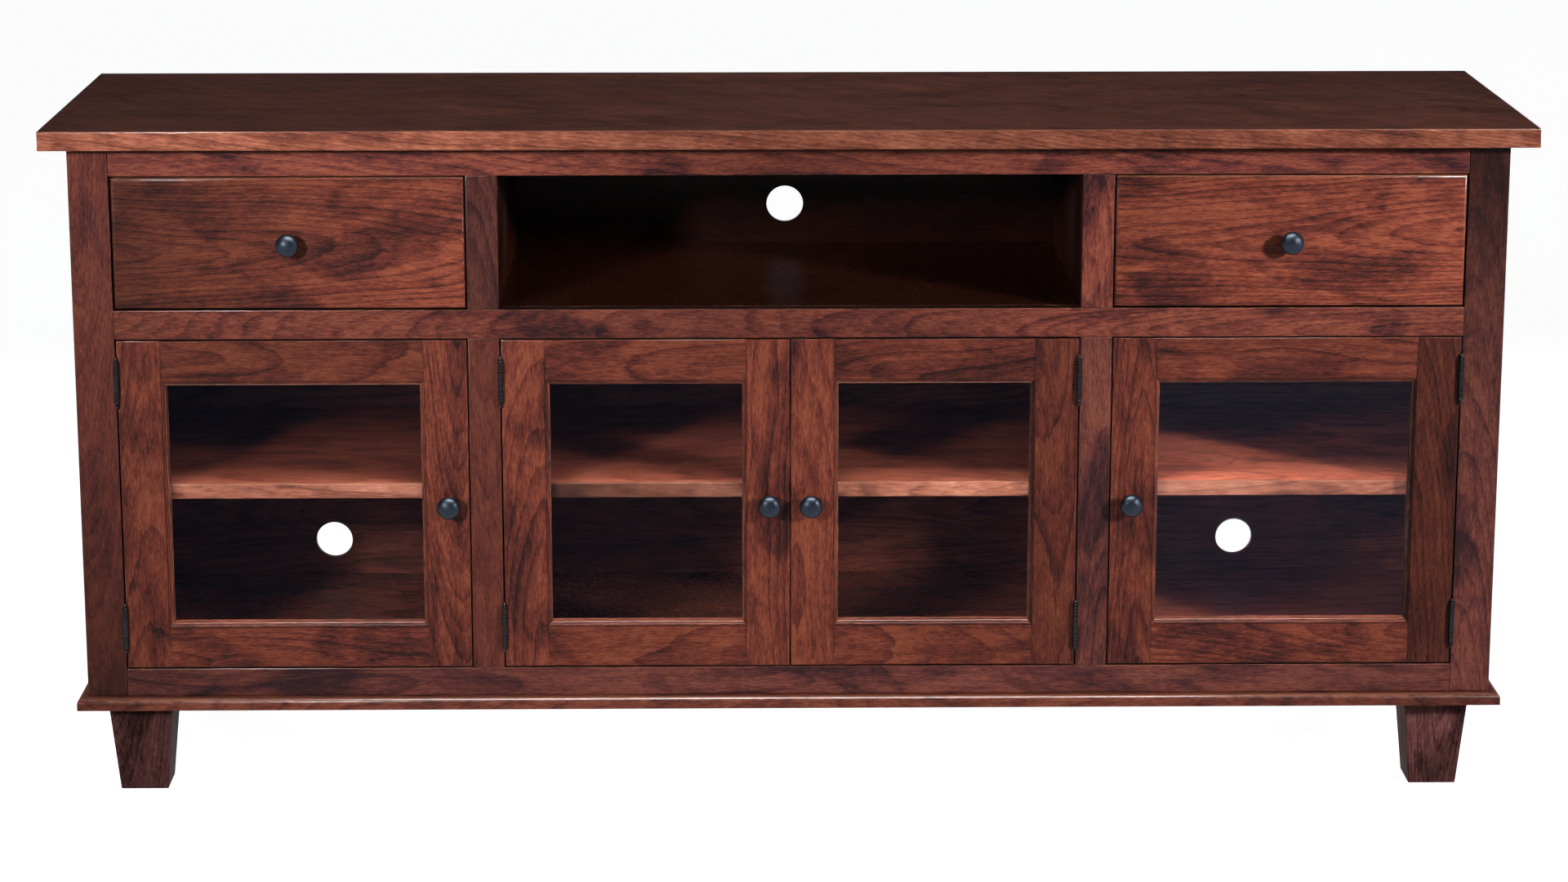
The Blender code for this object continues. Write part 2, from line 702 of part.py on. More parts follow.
def add_drawer(case, name, side, meshes, looks):
    """An inset front with rounded edges, a box that rides on the deck, and a knob in the middle."""
    middle_x = side * BAY_X
    low_z = DECK_Z + REVEAL
    high_z = DRAWER_HEAD_Z - REVEAL
    middle_z = (low_z + high_z) / 2
    slide = marker(f"{name}_slide", (middle_x, FACE_Y, middle_z), case)

    half_width = SIDE_OPENING_WIDTH / 2 - REVEAL
    front_rear_y = FACE_Y + DRAWER_FRONT_THICKNESS
    shape, centre = block(
        (middle_x - half_width, FACE_Y, low_z), (middle_x + half_width, front_rear_y, high_z)
    )
    round_edges(shape, DRAWER_FRONT_ROUND, ARC_STEPS, lambda point: point.y < 0)
    front_name = f"{name}_front"
    add_piece(front_name, mesh_of(front_name, shape), centre, slide, looks["drawer"])

    box_x = SIDE_OPENING_WIDTH / 2 - DRAWER_SIDE_CLEARANCE
    box_front = front_rear_y + JOINT_GAP
    box_rear = BACK_FACE_Y - DRAWER_REAR_CLEARANCE
    box_low = DECK_Z + DRAWER_RUN_CLEARANCE
    box_high = DRAWER_HEAD_Z - DRAWER_HEAD_CLEARANCE
    box = add_board(
        f"{name}_box",
        (middle_x - box_x, box_front, box_low),
        (middle_x + box_x, box_rear, box_high),
        slide,
        looks["drawer_box"],
    )
    wall = DRAWER_SIDE_THICKNESS
    cut_block(
        box,
        "inside",
        (middle_x - box_x + wall, box_front + wall, box_low + DRAWER_BOTTOM_THICKNESS),
        (middle_x + box_x - wall, box_rear - wall, box_high + OVERSHOOT),
    )
    place_knob(f"{name}_knob", meshes["knob"], middle_x, middle_z, slide, looks["knob"])


def main():
    clear_scene()
    looks = {
        "top": finish("stained_top", (0.10, 0.040, 0.030), 0.35),
        "frame": finish("stained_face_frame", (0.13, 0.040, 0.028), 0.38),
        "door": finish("stained_doors", (0.12, 0.038, 0.027), 0.38),
        "drawer": finish("stained_drawer_fronts", (0.14, 0.044, 0.030), 0.36),
        "case": finish("stained_case", (0.10, 0.034, 0.025), 0.42),
        "base": finish("stained_base", (0.11, 0.036, 0.027), 0.40),
        "drawer_box": finish("clear_drawer_box", (0.55, 0.40, 0.25), 0.50),
        "glass": finish("clear_glass", (0.85, 0.90, 0.90), 0.05, alpha=0.25),
        "hinge": finish("dark_bronze_hinge", (0.02, 0.017, 0.018), 0.38, metallic=0.9),
        "knob": finish("satin_black_knob", (0.025, 0.027, 0.032), 0.32, metallic=0.6),
    }
    case = marker("case", (0, 0, 0))
    add_top(case, looks["top"])
    add_feet(case, looks["base"])
    add_base(case, looks["base"])
    add_face_frame(case, looks["frame"])
    add_panels(case, looks["case"])
    add_back(case, looks["case"])
    fixed_leaf, door_leaf = hinge_meshes()
    meshes = {"knob": knob_mesh(), "fixed_leaf": fixed_leaf, "door_leaf": door_leaf}
    add_doors(case, meshes, looks)
    for name, side in SIDES:
        add_drawer(case, f"{name}_drawer", side, meshes, looks)


main()
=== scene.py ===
"""Looks of the media console: stained boards, glazed doors, black hardware and soft studio light.

Metres, +Z up, front towards -Y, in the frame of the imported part.
"""

import json
import math
import random

import bmesh
import bpy
import numpy as np
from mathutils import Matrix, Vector


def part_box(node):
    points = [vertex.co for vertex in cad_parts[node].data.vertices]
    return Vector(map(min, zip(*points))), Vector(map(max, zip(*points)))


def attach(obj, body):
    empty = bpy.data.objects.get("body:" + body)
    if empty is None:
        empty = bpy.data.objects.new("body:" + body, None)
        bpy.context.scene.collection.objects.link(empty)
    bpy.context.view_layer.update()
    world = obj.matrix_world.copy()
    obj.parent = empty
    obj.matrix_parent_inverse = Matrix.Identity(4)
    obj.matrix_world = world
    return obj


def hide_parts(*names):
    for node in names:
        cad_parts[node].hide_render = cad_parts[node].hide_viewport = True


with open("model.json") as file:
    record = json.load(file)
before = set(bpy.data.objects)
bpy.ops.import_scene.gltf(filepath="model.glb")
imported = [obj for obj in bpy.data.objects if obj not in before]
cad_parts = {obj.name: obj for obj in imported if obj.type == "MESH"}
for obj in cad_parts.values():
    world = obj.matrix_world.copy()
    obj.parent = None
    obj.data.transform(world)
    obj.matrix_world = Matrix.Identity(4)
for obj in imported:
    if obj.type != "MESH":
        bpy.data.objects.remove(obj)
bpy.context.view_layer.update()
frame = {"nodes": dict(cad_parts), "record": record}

# Camera
CAMERA_PLACE = (-0.0817, -5.2, 1.64)
CAMERA_PITCH = 13.193
CAMERA_YAW = -0.849
CAMERA_LENS_MM = 91.0
CAMERA_SENSOR_MM = 36.0

# Studio
FLOOR_REACH = 40.0
FLOOR_GREY = 0.55
FLOOR_WHITE = 0.95
FLOOR_ROUGHNESS = 0.9
SURROUND = (0.032, 0.035, 0.042, 1.0)
SOFTBOXES = {
    "left_softbox": {
        "place": (-2.3, -4.0, 1.85), "aim": (-0.55, -0.23, 0.65), "size": 0.45, "watts": 4.25, "spread": 30,
    },
    "right_softbox": {
        "place": (3.2, -2.9, 1.85), "aim": (0.60, -0.23, 0.62), "size": 0.40, "watts": 5.3, "spread": 31,
    },
    "overhead_softbox": {
        "place": (0.0, -1.4, 3.0), "aim": (0.0, -0.23, 0.45), "size": 2.4, "watts": 100, "spread": 120,
        "height": 1.2, "diffuse": False,
    },
    "rear_left_softbox": {
        "place": (-3.0, 2.6, 0.60), "aim": (-0.4, 0.25, 0.45), "size": 0.9, "watts": 14, "spread": 80,
    },
    "rear_right_softbox": {
        "place": (3.0, 2.6, 0.60), "aim": (0.4, 0.25, 0.45), "size": 0.9, "watts": 14, "spread": 80,
    },
}

# Glass
GLASS_COLOUR = (0.98, 0.99, 0.99, 1.0)
GLASS_SHADE = (0.97, 0.98, 0.98, 1.0)
GLASS_SHINE = (0.45, 0.60, 1.0, 1.0)
GLASS_IOR = 1.12
BRIGHT_GLASS_IOR = 1.20
GLASS_WIPE_PITCH = (5, 5, 9)
GLASS_WIPE_RANGE = (0.35, 0.8)
GLASS_ROUGHNESS = (0.015, 0.07)
PANE_EASE = 0.0004

# Metal
COOL_SHINE = (0.70, 0.85, 1.0, 1.0)
METAL_PATCH_PITCH = (120, 120, 120)
METAL_GRIT_PITCH = (1800, 1800, 1800)
METAL_PATCH_ROUGHNESS = 0.18
METAL_GRIT_ROUGHNESS = 0.10
METAL_PATCH_HEIGHT = 0.5
METAL_RELIEF = 0.10
METAL_GRIT_DEPTH = 0.0002
METAL_COAT_ROUGHNESS = 0.12

# Wood figure: a pitch is features per metre along, across and through the board, a range is where a mark
# goes from none to full, and a strength is how far it moves the colour from its middle
SWAY_PITCH = (1.7, 6, 6)
RIPPLE_PITCH = (12, 90, 90)
LINE_PITCH = (6, 420, 420)
FIBRE_PITCH = (90, 600, 600)
PORE_PITCH = (110, 1500, 1500)
SMOKE_PITCH = (6, 16, 16)
MOTTLE_PITCH = (30, 120, 120)
CURL_PITCH = (34, 7, 7)
PORE_RANGE = (0.57, 0.68)
BLOTCH_RANGE = (0.44, 0.70)
DARK_TO_MID = (0.16, 0.54)
MID_TO_LIGHT = (0.52, 0.90)
FIGURE_MIDDLE = 0.64
LINE_STRENGTH = 0.40
FIBRE_STRENGTH = 0.85
MOTTLE_STRENGTH = 0.50
YEAR_STRENGTH = 0.42
RING_STRENGTH = -0.38
PORE_STRENGTH = -0.12
BLOTCHED_PORE_STRENGTH = -0.10
STAVE_DRIFT = (9.0, 0.05, 0.04)
LOG_SWAY = 0.055
RING_RIPPLE = 0.55
RING_VARIETY = 0.7
LATE_WOOD_POWER = 3
LATE_WOOD_END = 0.92
YEAR_PACE = 0.42
CURL_SLANT = 0.9

# Lacquer, wear and painted highlight
RUB_PITCH = (60, 160, 160)
WIPE_PITCH = (7, 18, 18)
PEEL_PITCH = (260, 420, 420)
RUB_RANGE = (0.42, 0.98)
RUB_PATCHES = 1.4
BUILD_RANGE = (0.18, 0.85)
WIPE_RANGE = (0.30, 0.65)
THIN_BUILD = 0.55
WIPE_ROUGHNESS = 0.16
PORE_ROUGHNESS = 0.10
RUB_ROUGHNESS = 0.08
PEEL_HEIGHT = 0.25
PORE_HEIGHT = -0.6
GRAIN_DEPTH = 0.0006
LACQUER_COAT_ROUGHNESS = 0.16
# Colour of rubbed edges, also a painted highlight on arrises that face up
WORN_AND_HIGHLIT_EDGE = (168, 104, 78)

# Place of a board in its log, drawn for each board
LOG_STEP = 3.7
LOG_PLACES = 40
HEART_DISTANCES = (0.03, 0.09)
RUN_OUTS = (0.02, 0.12)
OFF_MIDDLES = (-0.03, 0.03)

# Boards
EASE = 0.0007
EASE_STEPS = 2
ROUND_STEPS = 6
EDGE_BAND = 0.0016
LOW_EDGE_WEAR = 0.30
BEAD_WEAR_AND_HIGHLIGHT = 0.45
TOP_EASE = 0.0015
FOOT_EASE = 0.0012
BASE_EDGE_ROUND = 0.006
DRAWER_FRONT_ROUND = 0.004
HOUSING_DEPTH = 0.006
EDGING_DEPTH = 0.006
SEAM = 0.0002
WELD = 0.000001
SMOOTH_ANGLE = math.radians(38)
ARRIS_ANGLE = math.radians(60)
FLAT_ANGLE = math.radians(1)
CABLE_HOLE_RADIUS = 0.0254
CABLE_HOLE_SIDES = 64

# Door moulding
DOOR_STILE_FLAT = 0.0556
DOOR_RAIL_FLAT = 0.0536
QUIRK_DEPTH = 0.0012
OVOLO_RADIUS = 0.0032
FILLET_WIDTH = 0.0006
BEAD_RADIUS = 0.0016
STICKING_LIP = 0.0045
GLASS_GROOVE_DEPTH = 0.007
GLASS_GROOVE_WIDTH = 0.0036
STICKING_WIDTH = OVOLO_RADIUS + FILLET_WIDTH + BEAD_RADIUS
GLASS_SETBACK = QUIRK_DEPTH + OVOLO_RADIUS + BEAD_RADIUS + STICKING_LIP

# Knobs
KNOB_RADIUS = 0.015
KNOB_PROJECTION = 0.0275
KNOB_DOME_HEIGHT = 0.009
KNOB_RIM_ROUND = 0.0012
KNOB_FOOT_RADIUS = 0.0085
KNOB_FOOT_HEIGHT = 0.0012
KNOB_FOOT_ROUND = 0.0006
KNOB_FOOT_STEP = 0.0012
KNOB_NECK_RADIUS = 0.0055
KNOB_NECK_START = 0.0019
KNOB_NECK_STEPS = 10
KNOB_SWELL_PACE = 1.15
KNOB_FLARE_START = 0.6
KNOB_FLARE_POWER = 2.5
KNOB_RIM_LIP = 0.0022
KNOB_DOME_START = math.radians(12)
KNOB_DOME_STEPS = 12
KNOB_SIDES = 64

# Hinges
BARREL_RADIUS = 0.0033
BARREL_LENGTH = 0.051
END_KNUCKLE_LENGTH = 0.013
PIN_RADIUS = 0.0015
RING_STEP = 0.0080
END_RING_STEP = 0.0034
RING_DEPTH = 0.0005
RING_HALF_WIDTH = 0.00045
KNUCKLE_GAP = 0.0003
BARREL_SIDES = 32
LEAF_THICKNESS = 0.0012
LEAF_DEPTH = 0.0218
LEAF_SPINE_WIDTH = 0.004
LEAF_SHOULDER = 0.0006
BALL_RADIUS = 0.0023
BEAD_BALL_RADIUS = 0.0012
NECK_RADIUS = 0.0013
COLLAR_HEIGHT = 0.0022
COLLAR_GROOVE = 0.0001
URN_SHOULDER_HEIGHT = 0.00205
URN_TAPER_HEIGHT = 0.0034

# Drawers
BOX_WALL = 0.012
BOX_BOTTOM = 0.008
GUIDE_WIDTH = 0.012
GUIDE_HEIGHT = 0.010
GUIDE_SETBACK = 0.012
GUIDE_CLEARANCE = 0.001
DRAWER_CUTS = {
    "left_drawer": {"depth": 0.045, "tilt": 0.07, "shift": 0.010},
    "right_drawer": {"depth": 0.040, "tilt": -0.05, "shift": -0.015},
}

# How pale each board is drawn, partly the stain and partly painted light and shade for how the lamps fall
# on it: one value, a value at each end of the grain, or (share of the length, value) stops
UPRIGHT_TONES = {
    "left_stile": (0.54, 1.28),
    "right_stile": (1.44, 0.28),
    "upper_left_mullion": 0.60,
    "upper_right_mullion": 1.36,
    "lower_left_mullion": 0.86,
    "lower_right_mullion": 0.92,
}
RAIL_TONES = {
    "top_rail": ((0.0, 1.64), (0.28, 1.60), (0.5, 0.88), (0.75, 1.54), (1.0, 1.58)),
    "middle_rail": ((0.0, 1.06), (0.28, 1.06), (0.5, 0.86), (0.75, 1.18), (1.0, 1.20)),
    "bottom_rail": (0.85, 1.34),
}
DRAWER_TONES = {"left_drawer": (0.53, 1.38), "right_drawer": (1.04, 1.54)}
DOOR_TONES = {
    "left_door": {"left_stile": 1.10, "right_stile": 1.06, "lower_rail": 1.20, "upper_rail": 0.82},
    "centre_left_door": {"left_stile": 1.12, "right_stile": 1.12, "lower_rail": 1.05, "upper_rail": 0.95},
    "centre_right_door": {"left_stile": 1.14, "right_stile": 0.74, "lower_rail": 1.05, "upper_rail": 0.95},
    "right_door": {"left_stile": 0.98, "right_stile": (0.56, 0.50), "lower_rail": 1.28, "upper_rail": 0.98},
}
TOP_TONE = 1.05
# The right shelf paler as painted light where the lamp falls, the centre edging darker at its left end as
# painted shade
SHELF_TONES = {"left": 0.66, "centre": (0.66, 0.64), "right": 1.52}
EDGING_TONES = {"left": 0.54, "centre": (0.04, 0.78), "right": 0.58}
# Inside the case: painted shade on the open bay's partitions and deck and on the glazed bays' partitions,
# and painted light and shade on each bay's back and bottom as the lamps reach it
UPPER_PARTITION_SHADE_TONE = 0.35
LOWER_PARTITION_SHADE_TONE = 0.75
DECK_SHADE_TONE = 0.36
BACK_TONE = 1.10
INNER_BACK_LIGHT_TONES = ((0.0, 0.95), (0.27, 0.95), (0.31, 0.60), (0.69, 1.20), (0.73, 1.64), (1.0, 1.64))
BOTTOM_LIGHT_TONES = ((0.0, 1.05), (0.27, 1.05), (0.31, 0.42), (0.69, 1.35), (0.73, 2.50), (1.0, 2.50))
BASE_TONES = (1.32, 1.12)
FOOT_TONES = {"left": 0.70, "right": 1.26}

# The top's front edge, paler as a painted sheen: share of the half width from the middle, left below zero,
# and how much paler it is
TOP_EDGE_SHEEN_TONES = ((-1.0, 1.85), (-0.45, 1.52), (-0.1, 1.04), (0.3, 1.04), (1.0, 1.18))

# Boards and panes with a finish of their own
FRAME_FINISHES = {
    "left_stile": "calm_frame",
    "lower_left_mullion": "calm_frame",
    # These boards get a bluish painted sheen, standing in for a cool reflection
    "right_stile": "bluish_sheen_frame",
    "lower_right_mullion": "bluish_sheen_frame",
    "bottom_rail": "bluish_sheen_frame",
    "upper_left_mullion": "bluish_sheen_frame",
}
PANE_FINISHES = {"right_door": "bright_glass"}

# Painted shade in darker places: the open bay, the quirks, the feet's inward sides and the sides facing
# gaps; and how far below the deck's top the open bay's painted shade starts and is full
OPEN_BAY_SHADE_TONE = 0.17
OPEN_BAY_SHADE_DROPS = (0.012, 0.006)
QUIRK_SHADE_TONE = 0.35
INNER_FOOT_SHADE_TONE = 0.40
INWARD_FACING = 0.9
GAP_SHADE_TONE = 0.12
GAP_SIDES = {
    "left_stile": ("x+",),
    "right_stile": ("x-",),
    "upper_left_mullion": ("x-",),
    "upper_right_mullion": ("x+",),
    "lower_left_mullion": ("x-", "x+"),
    "lower_right_mullion": ("x-", "x+"),
    "top_rail": ("z-",),
    "middle_rail": ("z-", "z+"),
    "bottom_rail": ("z+",),
}

# Names
DOORS = ("left_door", "centre_left_door", "centre_right_door", "right_door")
DRAWERS = ("left_drawer", "right_drawer")
AXIS = {"x": 0, "y": 1, "z": 2}
VECTOR, FLOAT, COLOUR = "NodeSocketVector", "NodeSocketFloat", "NodeSocketColor"


def to_linear(channel):
    """A screen's channel, 0 to 255, as a linear value by the standard curve."""
    share = channel / 255
    return share / 12.92 if share <= 0.04045 else ((share + 0.055) / 1.055) ** 2.4


def tint(red, green, blue):
    """A colour as a screen shows it, 0 to 255, as the shader's linear values."""
    return (to_linear(red), to_linear(green), to_linear(blue), 1.0)


class Wiring:
    """Adds nodes to a tree and feeds their sockets with values or with other sockets."""

    def __init__(self, tree):
        self.tree = tree

    def feed(self, socket, value):
        if isinstance(value, bpy.types.NodeSocket):
            self.tree.links.new(value, socket)
        else:
            socket.default_value = value

    def add(self, kind, inputs=None, **settings):
        node = self.tree.nodes.new(kind)
        for key, value in settings.items():
            setattr(node, key, value)
        self.fill(node, inputs or {})
        return node

    def fill(self, node, inputs):
        for key, value in inputs.items():
            self.feed(node.inputs[key], value)

    def group(self, tree, inputs):
        return self.add("ShaderNodeGroup", inputs, node_tree=tree).outputs

    def math(self, operation, *values):
        node = self.add("ShaderNodeMath", operation=operation)
        for socket, value in zip(node.inputs, values):
            self.feed(socket, value)
        return node.outputs[0]

    def vector(self, operation, first, second):
        node = self.add("ShaderNodeVectorMath", {0: first, 1: second}, operation=operation)
        return node.outputs[0]

    def scaled(self, vector, factor):
        node = self.add("ShaderNodeVectorMath", {0: vector, "Scale": factor}, operation="SCALE")
        return node.outputs[0]

    def split(self, vector):
        return self.add("ShaderNodeSeparateXYZ", {0: vector}).outputs[:]

    def join(self, x, y, z):
        return self.add("ShaderNodeCombineXYZ", {0: x, 1: y, 2: z}).outputs[0]

    def noise(self, place, stretch, detail=2.0, roughness=0.5, distortion=0.0, coloured=False):
        """Noise whose features per metre are given for each direction, as a value or a colour."""
        inputs = {
            "Vector": self.vector("MULTIPLY", place, stretch),
            "Scale": 1.0,
            "Detail": detail,
            "Roughness": roughness,
            "Distortion": distortion,
        }
        return self.add("ShaderNodeTexNoise", inputs).outputs[1 if coloured else 0]

    def swing(self, noise, strength, base):
        """A value that goes up and down with a noise about the noise's middle."""
        return self.math("MULTIPLY_ADD", self.math("SUBTRACT", noise, 0.5), strength, base)

    def chance(self, value):
        return self.add("ShaderNodeTexWhiteNoise", {"W": value}, noise_dimensions="1D").outputs

    def ramp(self, value, low, high, to_low=0.0, to_high=1.0, smooth=True):
        inputs = {"Value": value, "From Min": low, "From Max": high, "To Min": to_low, "To Max": to_high}
        kind = "SMOOTHSTEP" if smooth else "LINEAR"
        return self.add("ShaderNodeMapRange", inputs, interpolation_type=kind).outputs[0]

    def mix(self, factor, first, second):
        """Mixes two colours, which go in at the node's sockets 6 and 7 and come out at 2."""
        node = self.add("ShaderNodeMix", data_type="RGBA")
        for index, value in ((0, factor), (6, first), (7, second)):
            self.feed(node.inputs[index], value)
        return node.outputs[2]

    def attribute(self, name):
        return self.add("ShaderNodeAttribute", attribute_name=name)


def new_group(name, inputs, outputs):
    """An empty node group, its input sockets by name and its output sockets by name."""
    tree = bpy.data.node_groups.new(name, "ShaderNodeTree")
    for label, kind in inputs.items():
        tree.interface.new_socket(label, in_out="INPUT", socket_type=kind)
    for label, kind in outputs.items():
        tree.interface.new_socket(label, in_out="OUTPUT", socket_type=kind)
    return tree, tree.nodes.new("NodeGroupInput").outputs, tree.nodes.new("NodeGroupOutput").inputs


def make_wood_figure():
    """Growth rings, fibres, pores, blotches and curl at a place in the log, as one stained colour."""
    tree, given, made = new_group(
        "wood figure",
        {
            "Position": VECTOR,
            "Stave Width": FLOAT,
            "Ring Spacing": FLOAT,
            "Ring Depth": FLOAT,
            "Blotch": FLOAT,
            "Curl": FLOAT,
            "Dark": COLOUR,
            "Mid": COLOUR,
            "Light": COLOUR,
        },
        {"Color": COLOUR, "Figure": FLOAT, "Pores": FLOAT},
    )
    wire = Wiring(tree)
    along, across, deep = wire.split(given["Position"])
    stave = wire.math("ROUND", wire.math("DIVIDE", across, given["Stave Width"]))
    drift = wire.split(wire.chance(stave)["Color"])
    in_stave = wire.math("SUBTRACT", across, wire.math("MULTIPLY", stave, given["Stave Width"]))
    moved = zip(drift, STAVE_DRIFT, (along, in_stave, deep))
    place = wire.join(*(wire.math("MULTIPLY_ADD", share, reach, base) for share, reach, base in moved))

    sway = wire.vector("SUBTRACT", wire.noise(place, SWAY_PITCH, coloured=True), (0.5, 0.5, 0.5))
    bent = wire.vector("ADD", place, wire.scaled(sway, LOG_SWAY))
    squares = [wire.math("POWER", part, 2) for part in wire.split(bent)[1:]]
    radius = wire.math("SQRT", wire.math("ADD", *squares))
    ripple = wire.noise(place, RIPPLE_PITCH, detail=4, roughness=0.62)
    even_count = wire.math("DIVIDE", radius, given["Ring Spacing"])
    count = wire.math("MULTIPLY_ADD", ripple, RING_RIPPLE, even_count)
    phase = wire.math("FRACT", count)
    growth = wire.math("POWER", phase, LATE_WOOD_POWER)
    late = wire.math("MULTIPLY", growth, wire.ramp(phase, LATE_WOOD_END, 1.0, 1.0, 0.0))
    luck = wire.chance(wire.math("FLOOR", count))["Value"]
    strength = wire.math("MULTIPLY_ADD", luck, RING_VARIETY, 1 - RING_VARIETY)
    ring = wire.math("MULTIPLY", wire.math("MULTIPLY", late, strength), given["Ring Depth"])
    year_place = wire.join(wire.math("MULTIPLY", count, YEAR_PACE), stave, 0.0)
    years = wire.noise(year_place, (1, 1, 1), detail=1)

    lines = wire.noise(bent, LINE_PITCH, detail=2, roughness=0.6)
    fibre = wire.noise(place, FIBRE_PITCH, detail=3, roughness=0.65)
    pores = wire.ramp(wire.noise(place, PORE_PITCH, detail=1), *PORE_RANGE)
    smoke = wire.noise(bent, SMOKE_PITCH, detail=4, roughness=0.55, distortion=0.8)
    blotch = wire.ramp(smoke, *BLOTCH_RANGE)
    mottle = wire.noise(bent, MOTTLE_PITCH, detail=3, roughness=0.6)
    slant = wire.join(wire.math("MULTIPLY_ADD", across, CURL_SLANT, along), across, deep)
    curl = wire.noise(slant, CURL_PITCH, detail=1)

    figure = FIGURE_MIDDLE
    for noise, reach in (
        (lines, LINE_STRENGTH),
        (fibre, FIBRE_STRENGTH),
        (mottle, MOTTLE_STRENGTH),
        (years, YEAR_STRENGTH),
        (curl, given["Curl"]),
    ):
        figure = wire.swing(noise, reach, figure)
    pore_strength = wire.math("MULTIPLY_ADD", blotch, BLOTCHED_PORE_STRENGTH, PORE_STRENGTH)
    figure = wire.math("MULTIPLY_ADD", ring, RING_STRENGTH, figure)
    figure = wire.math("MULTIPLY_ADD", blotch, wire.math("MULTIPLY", given["Blotch"], -1.0), figure)
    figure = wire.math("MULTIPLY_ADD", pores, pore_strength, figure)
    lower = wire.mix(wire.ramp(figure, *DARK_TO_MID, smooth=False), given["Dark"], given["Mid"])
    colour = wire.mix(wire.ramp(figure, *MID_TO_LIGHT, smooth=False), lower, given["Light"])
    wire.feed(made["Color"], colour)
    wire.feed(made["Figure"], figure)
    wire.feed(made["Pores"], pores)
    return tree


def make_edge_wear_and_highlight():
    """Where handling has rubbed the colour off the arrises, and a painted highlight where the marks are
    higher on arrises that face up.
    """
    tree, given, made = new_group(
        "edge wear and painted highlight",
        {"Color": COLOUR, "Edge": FLOAT, "Position": VECTOR, "Bare": COLOUR, "Amount": FLOAT},
        {"Color": COLOUR, "Mask": FLOAT},
    )
    wire = Wiring(tree)
    patches = wire.noise(given["Position"], RUB_PITCH, detail=4, roughness=0.65)
    reach = wire.swing(patches, RUB_PATCHES, given["Edge"])
    mask = wire.math("MULTIPLY", wire.ramp(reach, *RUB_RANGE), given["Amount"])
    wire.feed(made["Mask"], mask)
    wire.feed(made["Color"], wire.mix(mask, given["Color"], given["Bare"]))
    return tree


def make_lacquer():
    """How sheen and surface height change where the lacquer sinks into pores or was wiped."""
    tree, given, made = new_group(
        "rubbed lacquer",
        {
            "Position": VECTOR,
            "Figure": FLOAT,
            "Pores": FLOAT,
            "Wear": FLOAT,
            "Edge": FLOAT,
            "Roughness": FLOAT,
        },
        {"Roughness": FLOAT, "Height": FLOAT, "Build": FLOAT},
    )
    wire = Wiring(tree)
    wiped = wire.noise(given["Position"], WIPE_PITCH, detail=3)
    peel = wire.noise(given["Position"], PEEL_PITCH, detail=2)
    rough = wire.swing(wiped, WIPE_ROUGHNESS, given["Roughness"])
    rough = wire.math("MULTIPLY_ADD", given["Pores"], PORE_ROUGHNESS, rough)
    rough = wire.math("MULTIPLY_ADD", given["Wear"], RUB_ROUGHNESS, rough)
    wire.feed(made["Roughness"], rough)
    height = wire.math("MULTIPLY_ADD", peel, PEEL_HEIGHT, given["Figure"])
    wire.feed(made["Height"], wire.math("MULTIPLY_ADD", given["Pores"], PORE_HEIGHT, height))
    uneven = wire.ramp(wiped, *WIPE_RANGE, THIN_BUILD, 1.0)
    wire.feed(made["Build"], wire.math("MULTIPLY", wire.ramp(given["Edge"], *BUILD_RANGE), uneven))
    return tree


def make_blackened_metal():
    """Patchy sheen and fine grit of blackened metal."""
    tree, given, made = new_group(
        "blackened metal", {"Position": VECTOR, "Roughness": FLOAT}, {"Roughness": FLOAT, "Height": FLOAT}
    )
    wire = Wiring(tree)
    patches = wire.noise(given["Position"], METAL_PATCH_PITCH, detail=4, roughness=0.6)
    grit = wire.noise(given["Position"], METAL_GRIT_PITCH, detail=2)
    rough = wire.swing(patches, METAL_PATCH_ROUGHNESS, given["Roughness"])
    wire.feed(made["Roughness"], wire.swing(grit, METAL_GRIT_ROUGHNESS, rough))
    wire.feed(made["Height"], wire.math("MULTIPLY_ADD", patches, METAL_PATCH_HEIGHT, grit))
    return tree


WOOD_FIGURE = make_wood_figure()
EDGE_WEAR_AND_HIGHLIGHT = make_edge_wear_and_highlight()
LACQUER = make_lacquer()
BLACKENED_METAL = make_blackened_metal()


def new_material(name):
    """A material, what wires it up, and its shader."""
    material = bpy.data.materials.new(name)
    material.use_nodes = True
    return material, Wiring(material.node_tree), material.node_tree.nodes["Principled BSDF"]


